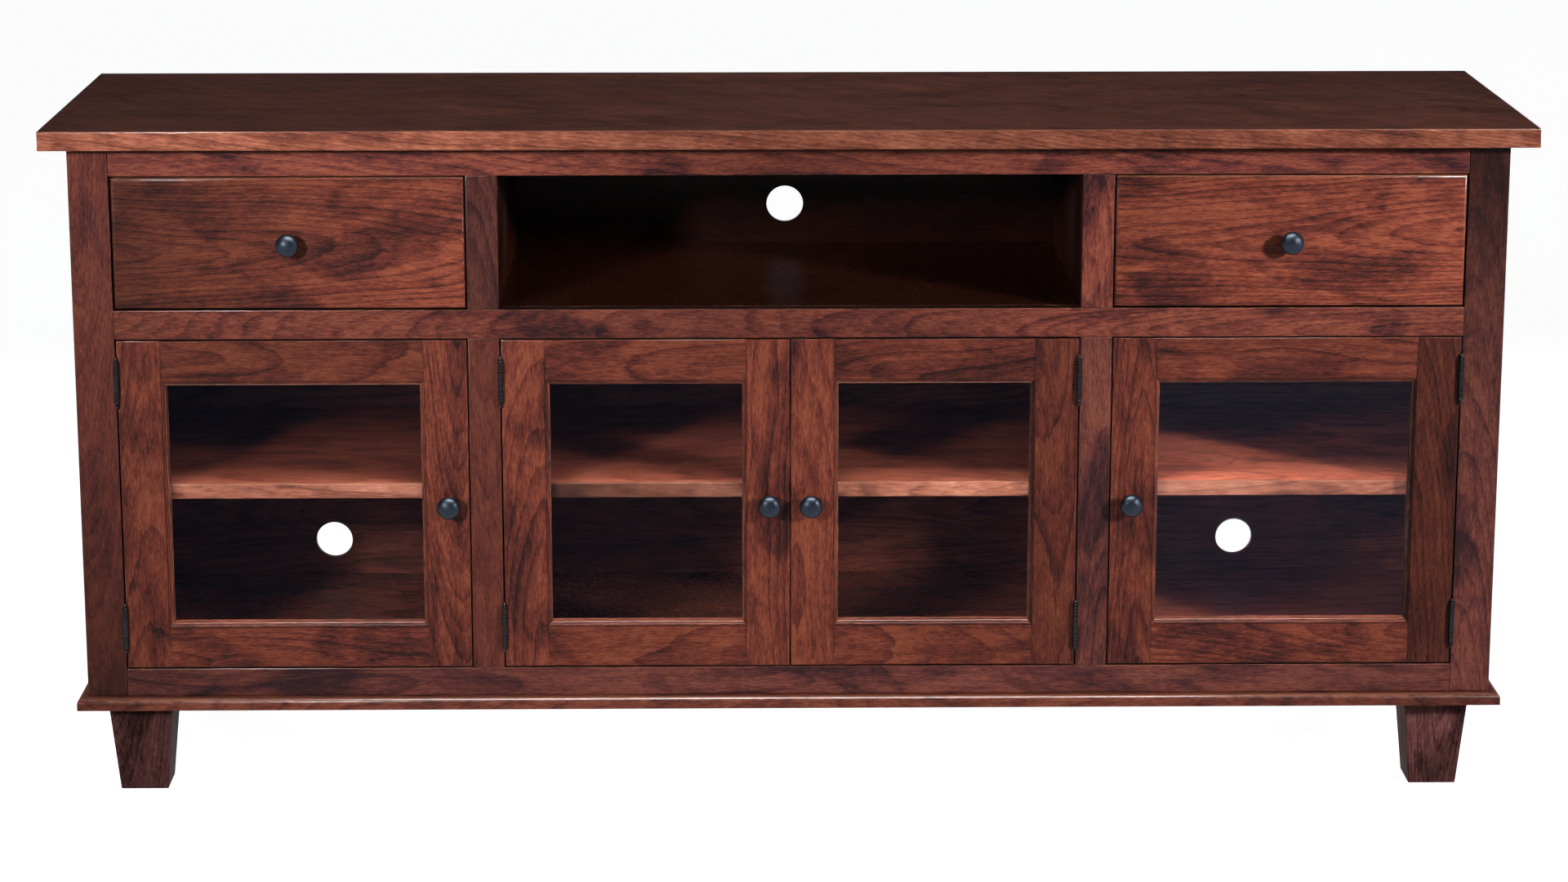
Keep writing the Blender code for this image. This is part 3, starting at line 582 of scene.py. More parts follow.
def stained_wood(
    name, dark, mid, light, worn_highlight=WORN_AND_HIGHLIT_EDGE, stave=1.0, spacing=0.0048, ring=0.9, blotch=0.30, curl=0.10,
    roughness=0.34, shine=0.12, wear_and_highlight=0.80, relief=0.12,
):
    """Stained hardwood under a satin lacquer.

    Dark, mid and light are its three tones, and the colour of its rubbed edges also serves as a painted
    highlight on arrises that face up; all as a screen shows them.
    """
    material, wire, shader = new_material(name)
    grain = wire.attribute("grain").outputs["Vector"]
    edge = wire.attribute("edge").outputs["Fac"]
    figure = wire.group(
        WOOD_FIGURE,
        {
            "Position": grain,
            "Stave Width": stave,
            "Ring Spacing": spacing,
            "Ring Depth": ring,
            "Blotch": blotch,
            "Curl": curl,
            "Dark": tint(*dark),
            "Mid": tint(*mid),
            "Light": tint(*light),
        },
    )
    toned = wire.scaled(figure["Color"], wire.attribute("tone").outputs["Fac"])
    worn_and_lit = wire.group(
        EDGE_WEAR_AND_HIGHLIGHT, {"Color": toned, "Edge": edge, "Position": grain, "Bare": tint(*worn_highlight), "Amount": wear_and_highlight}
    )
    lacquer = wire.group(
        LACQUER,
        {
            "Position": grain,
            "Figure": figure["Figure"],
            "Pores": figure["Pores"],
            "Wear": worn_and_lit["Mask"],
            "Edge": edge,
            "Roughness": roughness,
        },
    )
    bump = wire.add(
        "ShaderNodeBump", {"Height": lacquer["Height"], "Strength": relief, "Distance": GRAIN_DEPTH}
    )
    wire.fill(
        shader,
        {
            "Base Color": worn_and_lit["Color"],
            "Roughness": lacquer["Roughness"],
            "Coat Weight": lacquer["Build"],
            "Normal": bump.outputs["Normal"],
            "Coat Roughness": LACQUER_COAT_ROUGHNESS,
            "Specular IOR Level": shine,
        },
    )
    return material


def blackened_metal(name, colour, roughness, metallic, shine, gloss=0.0):
    """Dark metal with an uneven sheen. Its colour is as a screen shows it."""
    material, wire, shader = new_material(name)
    place = wire.add("ShaderNodeTexCoord").outputs["Object"]
    metal = wire.group(BLACKENED_METAL, {"Position": place, "Roughness": roughness})
    bump = wire.add(
        "ShaderNodeBump",
        {"Height": metal["Height"], "Strength": METAL_RELIEF, "Distance": METAL_GRIT_DEPTH},
    )
    wire.fill(
        shader,
        {
            "Base Color": tint(*colour),
            "Roughness": metal["Roughness"],
            "Normal": bump.outputs["Normal"],
            "Metallic": metallic,
            "Specular IOR Level": shine,
            "Specular Tint": COOL_SHINE,
            "Coat Weight": gloss,
            "Coat Roughness": METAL_COAT_ROUGHNESS,
        },
    )
    return material


def clear_glass(name, ior):
    """Thin clear glass that lets lamp light through, with faint wipe marks."""
    material, wire, shader = new_material(name)
    place = wire.add("ShaderNodeTexCoord").outputs["Object"]
    wiped = wire.noise(place, GLASS_WIPE_PITCH, detail=4, roughness=0.6)
    wire.fill(
        shader,
        {
            "Roughness": wire.ramp(wiped, *GLASS_WIPE_RANGE, *GLASS_ROUGHNESS),
            "Base Color": GLASS_COLOUR,
            "Transmission Weight": 1.0,
            "IOR": ior,
            "Specular Tint": GLASS_SHINE,
        },
    )
    clear = wire.add("ShaderNodeBsdfTransparent", {"Color": GLASS_SHADE})
    shadow = wire.add("ShaderNodeLightPath").outputs["Is Shadow Ray"]
    mixed = wire.add("ShaderNodeMixShader", {0: shadow, 1: shader.outputs[0], 2: clear.outputs[0]})
    wire.fill(material.node_tree.nodes["Material Output"], {"Surface": mixed.outputs[0]})
    return material


def make_finishes():
    """The finish of each material slot, and of the boards that differ from their slot."""
    return {
        "top_wood": stained_wood(
            "stained_top", (70, 35, 30), (128, 70, 53), (178, 111, 85), stave=0.107, blotch=0.22, curl=0.42
        ),
        "frame_wood": stained_wood(
            "stained_face_frame", (42, 21, 24), (104, 51, 43), (150, 84, 62), blotch=0.40
        ),
        "calm_frame": stained_wood(
            "stained_face_frame_calm", (50, 25, 25), (100, 49, 42), (136, 74, 56),
            blotch=0.16, ring=0.6, spacing=0.0040,
        ),
        # Face frame wood with a bluish painted sheen in its colours
        "bluish_sheen_frame": stained_wood(
            "stained_face_frame_cool", (50, 28, 32), (100, 53, 48), (146, 84, 67), blotch=0.36
        ),
        "door_wood": stained_wood("stained_doors", (44, 21, 20), (106, 50, 40), (152, 83, 58), ring=1.0),
        "drawer_wood": stained_wood(
            "stained_drawer_fronts", (46, 21, 20), (112, 53, 41), (160, 88, 62),
            blotch=0.34, ring=1.1, spacing=0.0052,
        ),
        "case_wood": stained_wood(
            "stained_case", (40, 18, 15), (94, 46, 35), (132, 72, 52), stave=0.12, blotch=0.22
        ),
        "base_wood": stained_wood("stained_base", (48, 24, 23), (108, 55, 44), (150, 86, 64)),
        "polished_floor": stained_wood(
            "polished_bay_floor", (40, 18, 15), (94, 46, 35), (132, 72, 52),
            stave=0.12, blotch=0.10, ring=0.5, roughness=0.20, relief=0.01,
        ),
        "foot_wood": stained_wood(
            "stained_feet", (47, 29, 31), (106, 65, 63), (147, 98, 92), roughness=0.60, shine=0.03
        ),
        "shelf_wood": stained_wood(
            "stained_shelf", (88, 39, 28), (152, 77, 57), (194, 113, 86),
            stave=0.11, curl=0.20, shine=0.05, wear_and_highlight=0.40,
        ),
        "edging_wood": stained_wood(
            "pale_edging", (96, 54, 42), (162, 97, 77), (210, 144, 116), worn_highlight=(206, 146, 118),
            blotch=0.25, curl=0.40, shine=0.05, wear_and_highlight=0.40,
        ),
        "drawer_box_wood": stained_wood(
            "clear_drawer_box", (172, 130, 92), (214, 178, 138), (234, 206, 170), worn_highlight=(236, 210, 176),
            blotch=0.10, ring=0.5, roughness=0.48,
        ),
        "door_glass": clear_glass("clear_glass", GLASS_IOR),
        "bright_glass": clear_glass("bright_glass", BRIGHT_GLASS_IOR),
        "hinge_metal": blackened_metal(
            "dark_bronze_hinge", (18, 16, 18), roughness=0.22, metallic=0.50, shine=0.25, gloss=0.35
        ),
        "knob_metal": blackened_metal(
            "satin_black_knob", (18, 24, 38), roughness=0.34, metallic=0.0, shine=0.46
        ),
    }


FINISHES = make_finishes()


def new_object(name, data):
    """An object in the scene."""
    item = bpy.data.objects.new(name, data)
    bpy.context.scene.collection.objects.link(item)
    return item


def new_piece(name, mesh, finish, body, nodes, place=(0, 0, 0), turn=(0, 0, 0)):
    """An object with a finish that rides on a body, and stands for the nodes it replaces."""
    piece = new_object(name, mesh)
    if not mesh.materials:
        mesh.materials.append(FINISHES[finish])
    piece.location = place
    piece.rotation_euler = turn
    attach(piece, body)
    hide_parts(*nodes)
    return piece


def mesh_of(name, shape):
    """Turns a bmesh into a smooth mesh with sharp corners, its faces pointing out."""
    bmesh.ops.recalc_face_normals(shape, faces=shape.faces)
    mesh = bpy.data.meshes.new(name)
    shape.to_mesh(mesh)
    shape.free()
    mesh.shade_smooth()
    mesh.set_sharp_from_angle(angle=SMOOTH_ANGLE)
    return mesh


def box_shape(low, high):
    """The plain block between two corners that a board is worked from."""
    low, high = Vector(low), Vector(high)
    shape = bmesh.new()
    bmesh.ops.create_cube(shape, size=1.0)
    bmesh.ops.scale(shape, vec=high - low, verts=shape.verts)
    bmesh.ops.translate(shape, vec=(low + high) / 2, verts=shape.verts)
    return shape


def bevel(shape, edges, radius, steps):
    bmesh.ops.bevel(shape, geom=edges, offset=radius, segments=steps, profile=0.5, affect="EDGES")


def extrude_along(shape, faces, way):
    """Gives flat faces a thickness along a vector."""
    made = bmesh.ops.extrude_face_region(shape, geom=faces)
    moved = [item for item in made["geom"] if isinstance(item, bmesh.types.BMVert)]
    bmesh.ops.translate(shape, verts=moved, vec=way)


def upward_wear_and_highlight(vert):
    """The mark of a point on an arris: some on every arris as wear, and most on the edges that face up,
    which paints a highlight there.
    """
    return LOW_EDGE_WEAR + (1 - LOW_EDGE_WEAR) * max(0.0, vert.normal.z)


def ease_edges(shape, radius, edges=None):
    """Rounds arrises, and marks how near each point is to one, fading over a narrow band."""
    bevel(shape, shape.edges[:] if edges is None else edges, radius, EASE_STEPS)
    shape.normal_update()
    near = shape.verts.layers.float.new("edge")
    for vert in shape.verts:
        vert[near] = upward_wear_and_highlight(vert)
    flats = []
    for face in shape.faces:
        width = 2 * face.calc_area() / face.calc_perimeter()
        if width > 2 * EDGE_BAND:
            flats.append(face)
    bmesh.ops.inset_individual(shape, faces=flats, thickness=EDGE_BAND, use_even_offset=True)
    for face in flats:
        for vert in face.verts:
            vert[near] = 0.0


def round_edges(shape, edges, radius):
    """Rounds some edges well, and eases the arrises that are left."""
    bevel(shape, edges, radius, ROUND_STEPS)
    ease_edges(shape, EASE, [edge for edge in shape.edges if edge.calc_face_angle(0) > ARRIS_ANGLE])


def mark_upward_edges(shape):
    """Works out the arris marks again after a piece was turned."""
    bmesh.ops.recalc_face_normals(shape, faces=shape.faces)
    shape.normal_update()
    near = shape.verts.layers.float["edge"]
    for vert in shape.verts:
        if vert[near] > 0:
            vert[near] = upward_wear_and_highlight(vert)


def paint_gap_shade(mesh, corners, sides, start=EASE / 2):
    """Paints shade on the sides that face a gap, darker from just behind the front arris."""
    low, high = corners
    planes = {"x-": (0, low.x), "x+": (0, high.x), "z-": (2, low.z), "z+": (2, high.z)}
    tones = mesh.attributes["tone"].data
    for vert, tone in zip(mesh.vertices, tones):
        behind = vert.co.y > low.y + start
        if behind and any(abs(vert.co[planes[side][0]] - planes[side][1]) < SEAM for side in sides):
            tone.value *= GAP_SHADE_TONE


def tone_stops(tone):
    """A tone as (share of the length, value) stops."""
    if not isinstance(tone, tuple):
        return ((0.0, tone), (1.0, tone))
    if not isinstance(tone[0], tuple):
        return ((0.0, tone[0]), (1.0, tone[1]))
    return tone


def cut_across(shape, place, normal):
    """Cuts new edges where a plane crosses a shape, so that a tone can change there."""
    everything = shape.verts[:] + shape.edges[:] + shape.faces[:]
    bmesh.ops.bisect_plane(shape, geom=everything, plane_co=place, plane_no=normal)


def cut_at_stops(shape, low, high, along, tone):
    """Cuts a board across its grain wherever its tone changes pace."""
    axis = AXIS[along]
    for share, _ in tone_stops(tone)[1:-1]:
        place = [0.0, 0.0, 0.0]
        place[axis] = low[axis] + (high[axis] - low[axis]) * share
        cut_across(shape, place, [1.0 if index == axis else 0.0 for index in range(3)])


def lay_grain(mesh, name, along, face, tone, depth=None, tilt=None, shift=None):
    """Stores each point's place in the log the board was cut from, and the board's tone.

    Along is the grain's axis and face the axis through the show face. Tone is how pale the board is, along
    the grain. Depth is how far the board lies from the log's heart, tilt how much it runs out of the log,
    and shift how far off the middle it is.
    """
    draw = random.Random(name)
    depth = draw.uniform(*HEART_DISTANCES) if depth is None else depth
    tilt = draw.choice((-1, 1)) * draw.uniform(*RUN_OUTS) if tilt is None else tilt
    shift = draw.uniform(*OFF_MIDDLES) if shift is None else shift
    start = draw.randrange(1, LOG_PLACES) * LOG_STEP
    points = np.empty(len(mesh.vertices) * 3, np.float32)
    mesh.vertices.foreach_get("co", points)
    points = points.reshape(-1, 3)
    local = points - (points.min(0) + points.max(0)) / 2
    run = local[:, AXIS[along]]
    across_axis = ({0, 1, 2} - {AXIS[along], AXIS[face]}).pop()
    across = local[:, across_axis] + shift
    deep = local[:, AXIS[face]] + depth + run * tilt
    log = np.stack([run + start, across, deep], axis=1)
    grain = mesh.attributes.new("grain", "FLOAT_VECTOR", "POINT")
    grain.data.foreach_set("vector", log.astype(np.float32).ravel())
    share = (run - run.min()) / (run.max() - run.min())
    tones = np.interp(share, *zip(*tone_stops(tone)))
    # Painted shade: points marked in the quirks are drawn darker
    if "quirk_shade" in mesh.attributes:
        quirk_shade = np.empty(len(mesh.vertices), np.float32)
        mesh.attributes["quirk_shade"].data.foreach_get("value", quirk_shade)
        tones *= 1 - (1 - QUIRK_SHADE_TONE) * quirk_shade
    shade = mesh.attributes.new("tone", "FLOAT", "POINT")
    shade.data.foreach_set("value", tones.astype(np.float32))


def add_board(name, low, high, along, face, slot, nodes, body="case", finish=None, tone=1.0):
    """A board between two corners with eased edges, its grain along one axis."""
    shape = box_shape(low, high)
    ease_edges(shape, EASE)
    cut_at_stops(shape, low, high, along, tone)
    mesh = mesh_of(name, shape)
    lay_grain(mesh, name, along, face, tone)
    return new_piece(name, mesh, finish or slot, body, nodes)


def add_top():
    """One wide panel of staves, its front edge paler towards the left as a painted sheen."""
    low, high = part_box("top_panel")
    shape = box_shape(low, high)
    ease_edges(shape, TOP_EASE)
    spots = [place * high.x for place, _ in TOP_EDGE_SHEEN_TONES]
    values = [value for _, value in TOP_EDGE_SHEEN_TONES]
    for x in spots[1:-1]:
        cut_across(shape, (x, 0, 0), (1, 0, 0))
    mesh = mesh_of("top", shape)
    lay_grain(mesh, "top", "x", "z", TOP_TONE)
    for vert, tone in zip(mesh.vertices, mesh.attributes["tone"].data):
        if vert.co.y < low.y + TOP_EASE / 2:
            tone.value *= float(np.interp(vert.co.x, spots, values))
    new_piece("top", mesh, "top_wood", "case", ["top_panel"])


def add_face_frame():
    """Stiles and mullions with upright grain, rails with level grain."""
    for along, boards in (("z", UPRIGHT_TONES), ("x", RAIL_TONES)):
        for node, tone in boards.items():
            low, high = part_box(node)
            finish = FRAME_FINISHES.get(node, "frame_wood")
            board = add_board(
                f"{node}_board", low, high, along, "y", "frame_wood", [node], finish=finish, tone=tone
            )
            paint_gap_shade(board.data, (low, high), GAP_SIDES[node])


def add_case_panels():
    """Side panels, partitions in two lengths round the deck, bottom and deck."""
    deck_low, deck_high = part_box("middle_deck")
    deck_high.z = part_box("middle_rail")[1].z
    for side in ("left", "right"):
        node = f"{side}_side_panel"
        low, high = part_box(node)
        add_board(f"{node}_board", low, high, "z", "x", "case_wood", [node])
        node = f"{side}_partition"
        low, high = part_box(node)
        upper_low = (low.x, low.y, deck_high.z + SEAM)
        lower_high = (high.x, high.y, deck_low.z - SEAM)
        for label, corner_low, corner_high, tone in (
            ("upper", upper_low, high, UPPER_PARTITION_SHADE_TONE),
            ("lower", low, lower_high, LOWER_PARTITION_SHADE_TONE),
        ):
            name = f"{side}_{label}_partition"
            add_board(name, corner_low, corner_high, "z", "x", "case_wood", [node], tone=tone)
    inset = Vector((HOUSING_DEPTH, 0, 0))
    bottom_low, bottom_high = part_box("bottom_panel")
    for name, node, low, high, tone in (
        ("bottom", "bottom_panel", bottom_low, bottom_high, BOTTOM_LIGHT_TONES),
        ("deck", "middle_deck", deck_low, deck_high, DECK_SHADE_TONE),
    ):
        low, high = low + inset, high - inset
        add_board(name, low, high, "x", "z", "case_wood", [node], finish="polished_floor", tone=tone)


def add_shelves():
    """Fixed shelves with a paler solid edging along the front."""
    inset = Vector((HOUSING_DEPTH, 0, 0))
    for side in ("left", "centre", "right"):
        node = f"{side}_shelf"
        low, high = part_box(node)
        low = low + inset
        high = high - inset
        edging_high = (high.x, low.y + EDGING_DEPTH, high.z)
        board_low = (low.x, low.y + EDGING_DEPTH + SEAM, low.z)
        for label, corner_low, corner_high, face, finish, tones in (
            ("board", board_low, high, "z", "shelf_wood", SHELF_TONES),
            ("edging", low, edging_high, "y", "edging_wood", EDGING_TONES),
        ):
            add_board(
                f"{node}_{label}", corner_low, corner_high, "x", face, "case_wood", [node],
                finish=finish, tone=tones[side]
            )


def circle(centre, radius, sides):
    """Points round a circle, the first not repeated."""
    x, y = centre
    angles = [math.tau * step / sides for step in range(sides)]
    return [(x + radius * math.cos(angle), y + radius * math.sin(angle)) for angle in angles]


def add_back():
    """A thin back with a round cable hole in the open bay and in each side bay."""
    low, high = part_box("back_panel")
    openings = {item["name"]: item["box_m"] for item in frame["record"]["physics"]["openings"]}
    outlines = [[(low.x, low.z), (high.x, low.z), (high.x, high.z), (low.x, high.z)]]
    for name in ("open_bay_cable_hole", "left_cable_hole", "right_cable_hole"):
        corner_low, corner_high = openings[name]
        centre = ((corner_low[0] + corner_high[0]) / 2, (corner_low[2] + corner_high[2]) / 2)
        outlines.append(circle(centre, CABLE_HOLE_RADIUS, CABLE_HOLE_SIDES))
    shape = bmesh.new()
    edges = []
    for outline in outlines:
        verts = [shape.verts.new((x, low.y, z)) for x, z in outline]
        for first, second in zip(verts, verts[1:] + verts[:1]):
            edges.append(shape.edges.new((first, second)))
    bmesh.ops.triangle_fill(shape, edges=edges, use_beauty=True)
    extrude_along(shape, shape.faces[:], (0, high.y - low.y, 0))
    shade_levels = [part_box("middle_rail")[1].z - drop for drop in OPEN_BAY_SHADE_DROPS]
    for z in shade_levels:
        cut_across(shape, (0, 0, z), (0, 0, 1))
    cut_at_stops(shape, low, high, "x", INNER_BACK_LIGHT_TONES)
    mesh = mesh_of("back", shape)
    lay_grain(mesh, "back", "x", "y", BACK_TONE)
    # Painted light and shade on the inner face only: each bay's own tone, and the open bay dark as painted
    # shade
    places, values = zip(*INNER_BACK_LIGHT_TONES)
    for vert, tone in zip(mesh.vertices, mesh.attributes["tone"].data):
        if vert.co.y > low.y + SEAM:
            continue
        share = (vert.co.x - low.x) / (high.x - low.x)
        in_open_bay = vert.co.z > sum(shade_levels) / len(shade_levels)
        tone.value = OPEN_BAY_SHADE_TONE if in_open_bay else float(np.interp(share, places, values))
    new_piece("back", mesh, "case_wood", "case", ["back_panel"])


def add_base():
    """The base board with its upper front and side edges rounded, and four tapered feet."""
    low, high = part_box("base_board")
    shape = box_shape(low, high)
    rounded = []
    for edge in shape.edges:
        middle = (edge.verts[0].co + edge.verts[1].co) / 2
        upper = abs(middle.z - high.z) < SEAM
        along_rear = abs(middle.y - high.y) < SEAM
        if upper and not along_rear:
            rounded.append(edge)
    round_edges(shape, rounded, BASE_EDGE_ROUND)
    mesh = mesh_of("base", shape)
    lay_grain(mesh, "base", "x", "y", BASE_TONES)
    new_piece("base", mesh, "base_wood", "case", ["base_board"])
    for side in ("left", "right"):
        for end in ("front", "rear"):
            add_foot(f"{side}_{end}_foot")


def add_foot(node):
    """A tapered foot from the solid's own shape, with eased edges and its inward side darkened as painted
    shade.
    """
    name = f"{node}_block"
    shape = bmesh.new()
    shape.from_mesh(frame["nodes"][node].data)
    bmesh.ops.remove_doubles(shape, verts=shape.verts, dist=SEAM / 2)
    bmesh.ops.dissolve_limit(shape, angle_limit=FLAT_ANGLE, verts=shape.verts, edges=shape.edges)
    for layer in (shape.verts.layers.float, shape.loops.layers.uv):
        for item in layer.values():
            layer.remove(item)
    ease_edges(shape, FOOT_EASE)
    mesh = mesh_of(name, shape)
    side = node.split("_")[0]
    lay_grain(mesh, name, "z", "y", FOOT_TONES[side])
    inward = 1 if side == "left" else -1
    for vert, tone in zip(mesh.vertices, mesh.attributes["tone"].data):
        if vert.normal.x * inward > INWARD_FACING:
            tone.value *= INNER_FOOT_SHADE_TONE
    new_piece(name, mesh, "foot_wood", "case", [node])


def sticking():
    """The door moulding as (distance in from the flat, depth behind the face), face first."""
    ovolo_depth = QUIRK_DEPTH + OVOLO_RADIUS
    bead_centre = (OVOLO_RADIUS + FILLET_WIDTH, ovolo_depth + BEAD_RADIUS)
    points = [(0.0, 0.0)]
    points += arc((0.0, ovolo_depth), OVOLO_RADIUS, start=-90, end=0, steps=ROUND_STEPS)
    points += arc(bead_centre, BEAD_RADIUS, start=-90, end=0, steps=ROUND_STEPS)
    groove_in = STICKING_WIDTH - GLASS_GROOVE_DEPTH
    groove_rear = GLASS_SETBACK + GLASS_GROOVE_WIDTH
    points += [
        (STICKING_WIDTH, GLASS_SETBACK),
        (groove_in, GLASS_SETBACK),
        (groove_in, groove_rear),
        (STICKING_WIDTH, groove_rear),
    ]
    return points


def door_member_shape(length, thickness, flat, end, mitre):
    """A door stile or rail in (across, depth, along) coordinates.

    The flat runs from end to end, the moulding between the mitres; across 0 is the door's outer edge.
    """
    profile = sticking() + [(STICKING_WIDTH, thickness)]
    shape = bmesh.new()

    def point(across, depth, along):
        return shape.verts.new((across, depth, along))

    front = [point(0, 0, end), point(0, 0, length - end)]
    rear = [point(0, thickness, end), point(0, thickness, length - end)]
    starts = [point(flat + inward, depth, mitre + inward) for inward, depth in profile]
    stops = [point(flat + inward, depth, length - mitre - inward) for inward, depth in profile]
    seat_low = point(flat, thickness, mitre)
    seat_high = point(flat, thickness, length - mitre)
    front_low, front_high, rear_low, rear_high = starts[0], stops[0], seat_low, seat_high
    if mitre > end:
        front_low = point(flat, 0, end)
        front_high = point(flat, 0, length - end)
        rear_low = point(flat, thickness, end)
        rear_high = point(flat, thickness, length - end)
        shape.faces.new((front_low, starts[0], seat_low, rear_low))
        shape.faces.new((front_high, rear_high, seat_high, stops[0]))
        shape.faces.new((front[0], front_low, starts[0], stops[0], front_high, front[1]))
        shape.faces.new((rear[0], rear[1], rear_high, seat_high, stops[-1], starts[-1], seat_low, rear_low))
    else:
        shape.faces.new((front[0], starts[0], stops[0], front[1]))
        shape.faces.new((rear[0], rear[1], seat_high, stops[-1], starts[-1], seat_low))
    shape.faces.new((front[0], rear[0], rear_low, front_low))
    shape.faces.new((front[1], front_high, rear_high, rear[1]))
    shape.faces.new((front[0], front[1], rear[1], rear[0]))
    shape.faces.new([*starts, seat_low])
    shape.faces.new([*stops, seat_high])
    for index in range(len(profile) - 1):
        shape.faces.new((starts[index], starts[index + 1], stops[index + 1], stops[index]))
    bmesh.ops.recalc_face_normals(shape, faces=shape.faces)
    return shape


def add_door_member(name, door, corner, across, along, length, thickness, flat, end, mitre, tone):
    """A stile or rail from its outer corner on the face; across and along are unit directions."""
    shape = door_member_shape(length, thickness, flat, end, mitre)
    outer = []
    for edge in shape.edges:
        spots = [vert.co for vert in edge.verts]
        at_outside = all(spot.x < SEAM for spot in spots)
        at_foot = all(spot.z < SEAM for spot in spots)
        at_head = all(spot.z > length - SEAM for spot in spots)
        if at_outside or (end == 0 and (at_foot or at_head)):
            outer.append(edge)
    ease_edges(shape, EASE, outer)
    near = shape.verts.layers.float["edge"]
    # Painted shade: mark the quirk's points to be drawn darker
    quirk_shade = shape.verts.layers.float.new("quirk_shade")
    bead = []
    for vert in shape.verts:
        spot = vert.co.copy()
        in_quirk = abs(spot.x - flat) < SEAM and spot.y < QUIRK_DEPTH + SEAM
        vert[quirk_shade] = 1.0 if in_quirk and mitre - SEAM < spot.z < length - mitre + SEAM else 0.0
        if flat - SEAM < spot.x < flat + OVOLO_RADIUS + SEAM:
            vert[near] = 0.0
        elif spot.x > flat and spot.y < GLASS_SETBACK - STICKING_LIP + SEAM:
            bead.append(vert)
        vert.co = corner + Vector(across) * spot.x + Vector((0, 1, 0)) * spot.y + Vector(along) * spot.z
    mark_upward_edges(shape)
    # Each bead's arris marked at least this much: wear and a painted highlight in its colour, and a coat
    # build
    for vert in bead:
        vert[near] = max(BEAD_WEAR_AND_HIGHLIGHT, vert[near])
    mesh = mesh_of(name, shape)
    lay_grain(mesh, name, "z" if along[2] else "x", "y", tone)
    paint_gap_shade(mesh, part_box(f"{door}_frame"), ("x-", "x+", "z-", "z+"))
    new_piece(name, mesh, "door_wood", door, [f"{door}_frame"])


def add_door(door):
    """Two stiles the full height, two rails between them, and the pane in their groove."""
    low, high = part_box(f"{door}_frame")
    size = high - low
    stile = {"length": size.z, "flat": DOOR_STILE_FLAT, "end": 0, "mitre": DOOR_RAIL_FLAT}
    rail_end = DOOR_STILE_FLAT + SEAM / 2
    rail = {"length": size.x, "flat": DOOR_RAIL_FLAT, "end": rail_end, "mitre": rail_end}
    up, right = (0, 0, 1), (1, 0, 0)
    members = {
        "left_stile": ((low.x, low.y, low.z), (1, 0, 0), up, stile),
        "right_stile": ((high.x, low.y, low.z), (-1, 0, 0), up, stile),
        "lower_rail": ((low.x, low.y, low.z), (0, 0, 1), right, rail),
        "upper_rail": ((low.x, low.y, high.z), (0, 0, -1), right, rail),
    }
    for name, (corner, across, along, sizes) in members.items():
        add_door_member(
            f"{door}_{name}", door, Vector(corner), across, along, thickness=size.y,
            tone=DOOR_TONES[door][name], **sizes
        )
    node = f"{door}_glass"
    pane_low, pane_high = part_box(node)
    shape = box_shape(pane_low, pane_high)
    bevel(shape, shape.edges[:], PANE_EASE, steps=1)
    finish = PANE_FINISHES.get(door, "door_glass")
    new_piece(f"{door}_pane", mesh_of(node, shape), finish, door, [node])


def turned(profile, sides, closed=False):
    """A shape turned about Z from (radius, height) points that start and end on the axis, or close up."""
    shape = bmesh.new()
    verts = [shape.verts.new((radius, 0.0, height)) for radius, height in profile]
    for first, second in zip(verts, verts[1:]):
        shape.edges.new((first, second))
    if closed:
        shape.edges.new((verts[-1], verts[0]))
    line = shape.verts[:] + shape.edges[:]
    bmesh.ops.spin(
        shape, geom=line, cent=(0, 0, 0), axis=(0, 0, 1), angle=math.tau, steps=sides, use_merge=True
    )
    bmesh.ops.remove_doubles(shape, verts=shape.verts, dist=WELD)
    return shape


def arc(centre, radius, start, end, steps):
    """Points along an arc; angles run from the first axis towards the second."""
    points = []
    for step in range(steps + 1):
        angle = math.radians(start + (end - start) * step / steps)
        points.append((centre[0] + radius * math.cos(angle), centre[1] + radius * math.sin(angle)))
    return points


def knob_mesh():
    """A mushroom knob: round foot, hollow neck, rolled rim and low dome, along Z."""
    rim_z = KNOB_PROJECTION - KNOB_DOME_HEIGHT
    under_z = rim_z - 2 * KNOB_RIM_ROUND
    foot_round = (KNOB_FOOT_RADIUS - KNOB_FOOT_ROUND, KNOB_FOOT_HEIGHT)
    rim_round = (KNOB_RADIUS - KNOB_RIM_ROUND, rim_z - KNOB_RIM_ROUND)
    foot_swell = KNOB_FOOT_RADIUS - KNOB_FOOT_STEP - KNOB_NECK_RADIUS
    rim_flare = KNOB_RADIUS - KNOB_RIM_LIP - KNOB_NECK_RADIUS
    profile = [(0.0, 0.0), (KNOB_FOOT_RADIUS, 0.0)]
    profile += arc(foot_round, KNOB_FOOT_ROUND, start=0, end=90, steps=3)
    for step in range(KNOB_NECK_STEPS + 1):
        share = step / KNOB_NECK_STEPS
        swell = (1 - math.sin(math.pi * min(1.0, share * KNOB_SWELL_PACE) / 2)) ** 2
        flare = max(0.0, (share - KNOB_FLARE_START) / (1 - KNOB_FLARE_START)) ** KNOB_FLARE_POWER
        radius = KNOB_NECK_RADIUS + swell * foot_swell + flare * rim_flare
        profile.append((radius, KNOB_NECK_START + share * (under_z - KNOB_NECK_START)))
    profile += arc(rim_round, KNOB_RIM_ROUND, start=-80, end=40, steps=5)
    for step in range(1, KNOB_DOME_STEPS):
        angle = KNOB_DOME_START + (math.pi / 2 - KNOB_DOME_START) * step / KNOB_DOME_STEPS
        profile.append((KNOB_RADIUS * math.cos(angle), rim_z + KNOB_DOME_HEIGHT * math.sin(angle)))
    profile.append((0.0, KNOB_PROJECTION))
    return mesh_of("knob", turned(profile, KNOB_SIDES))


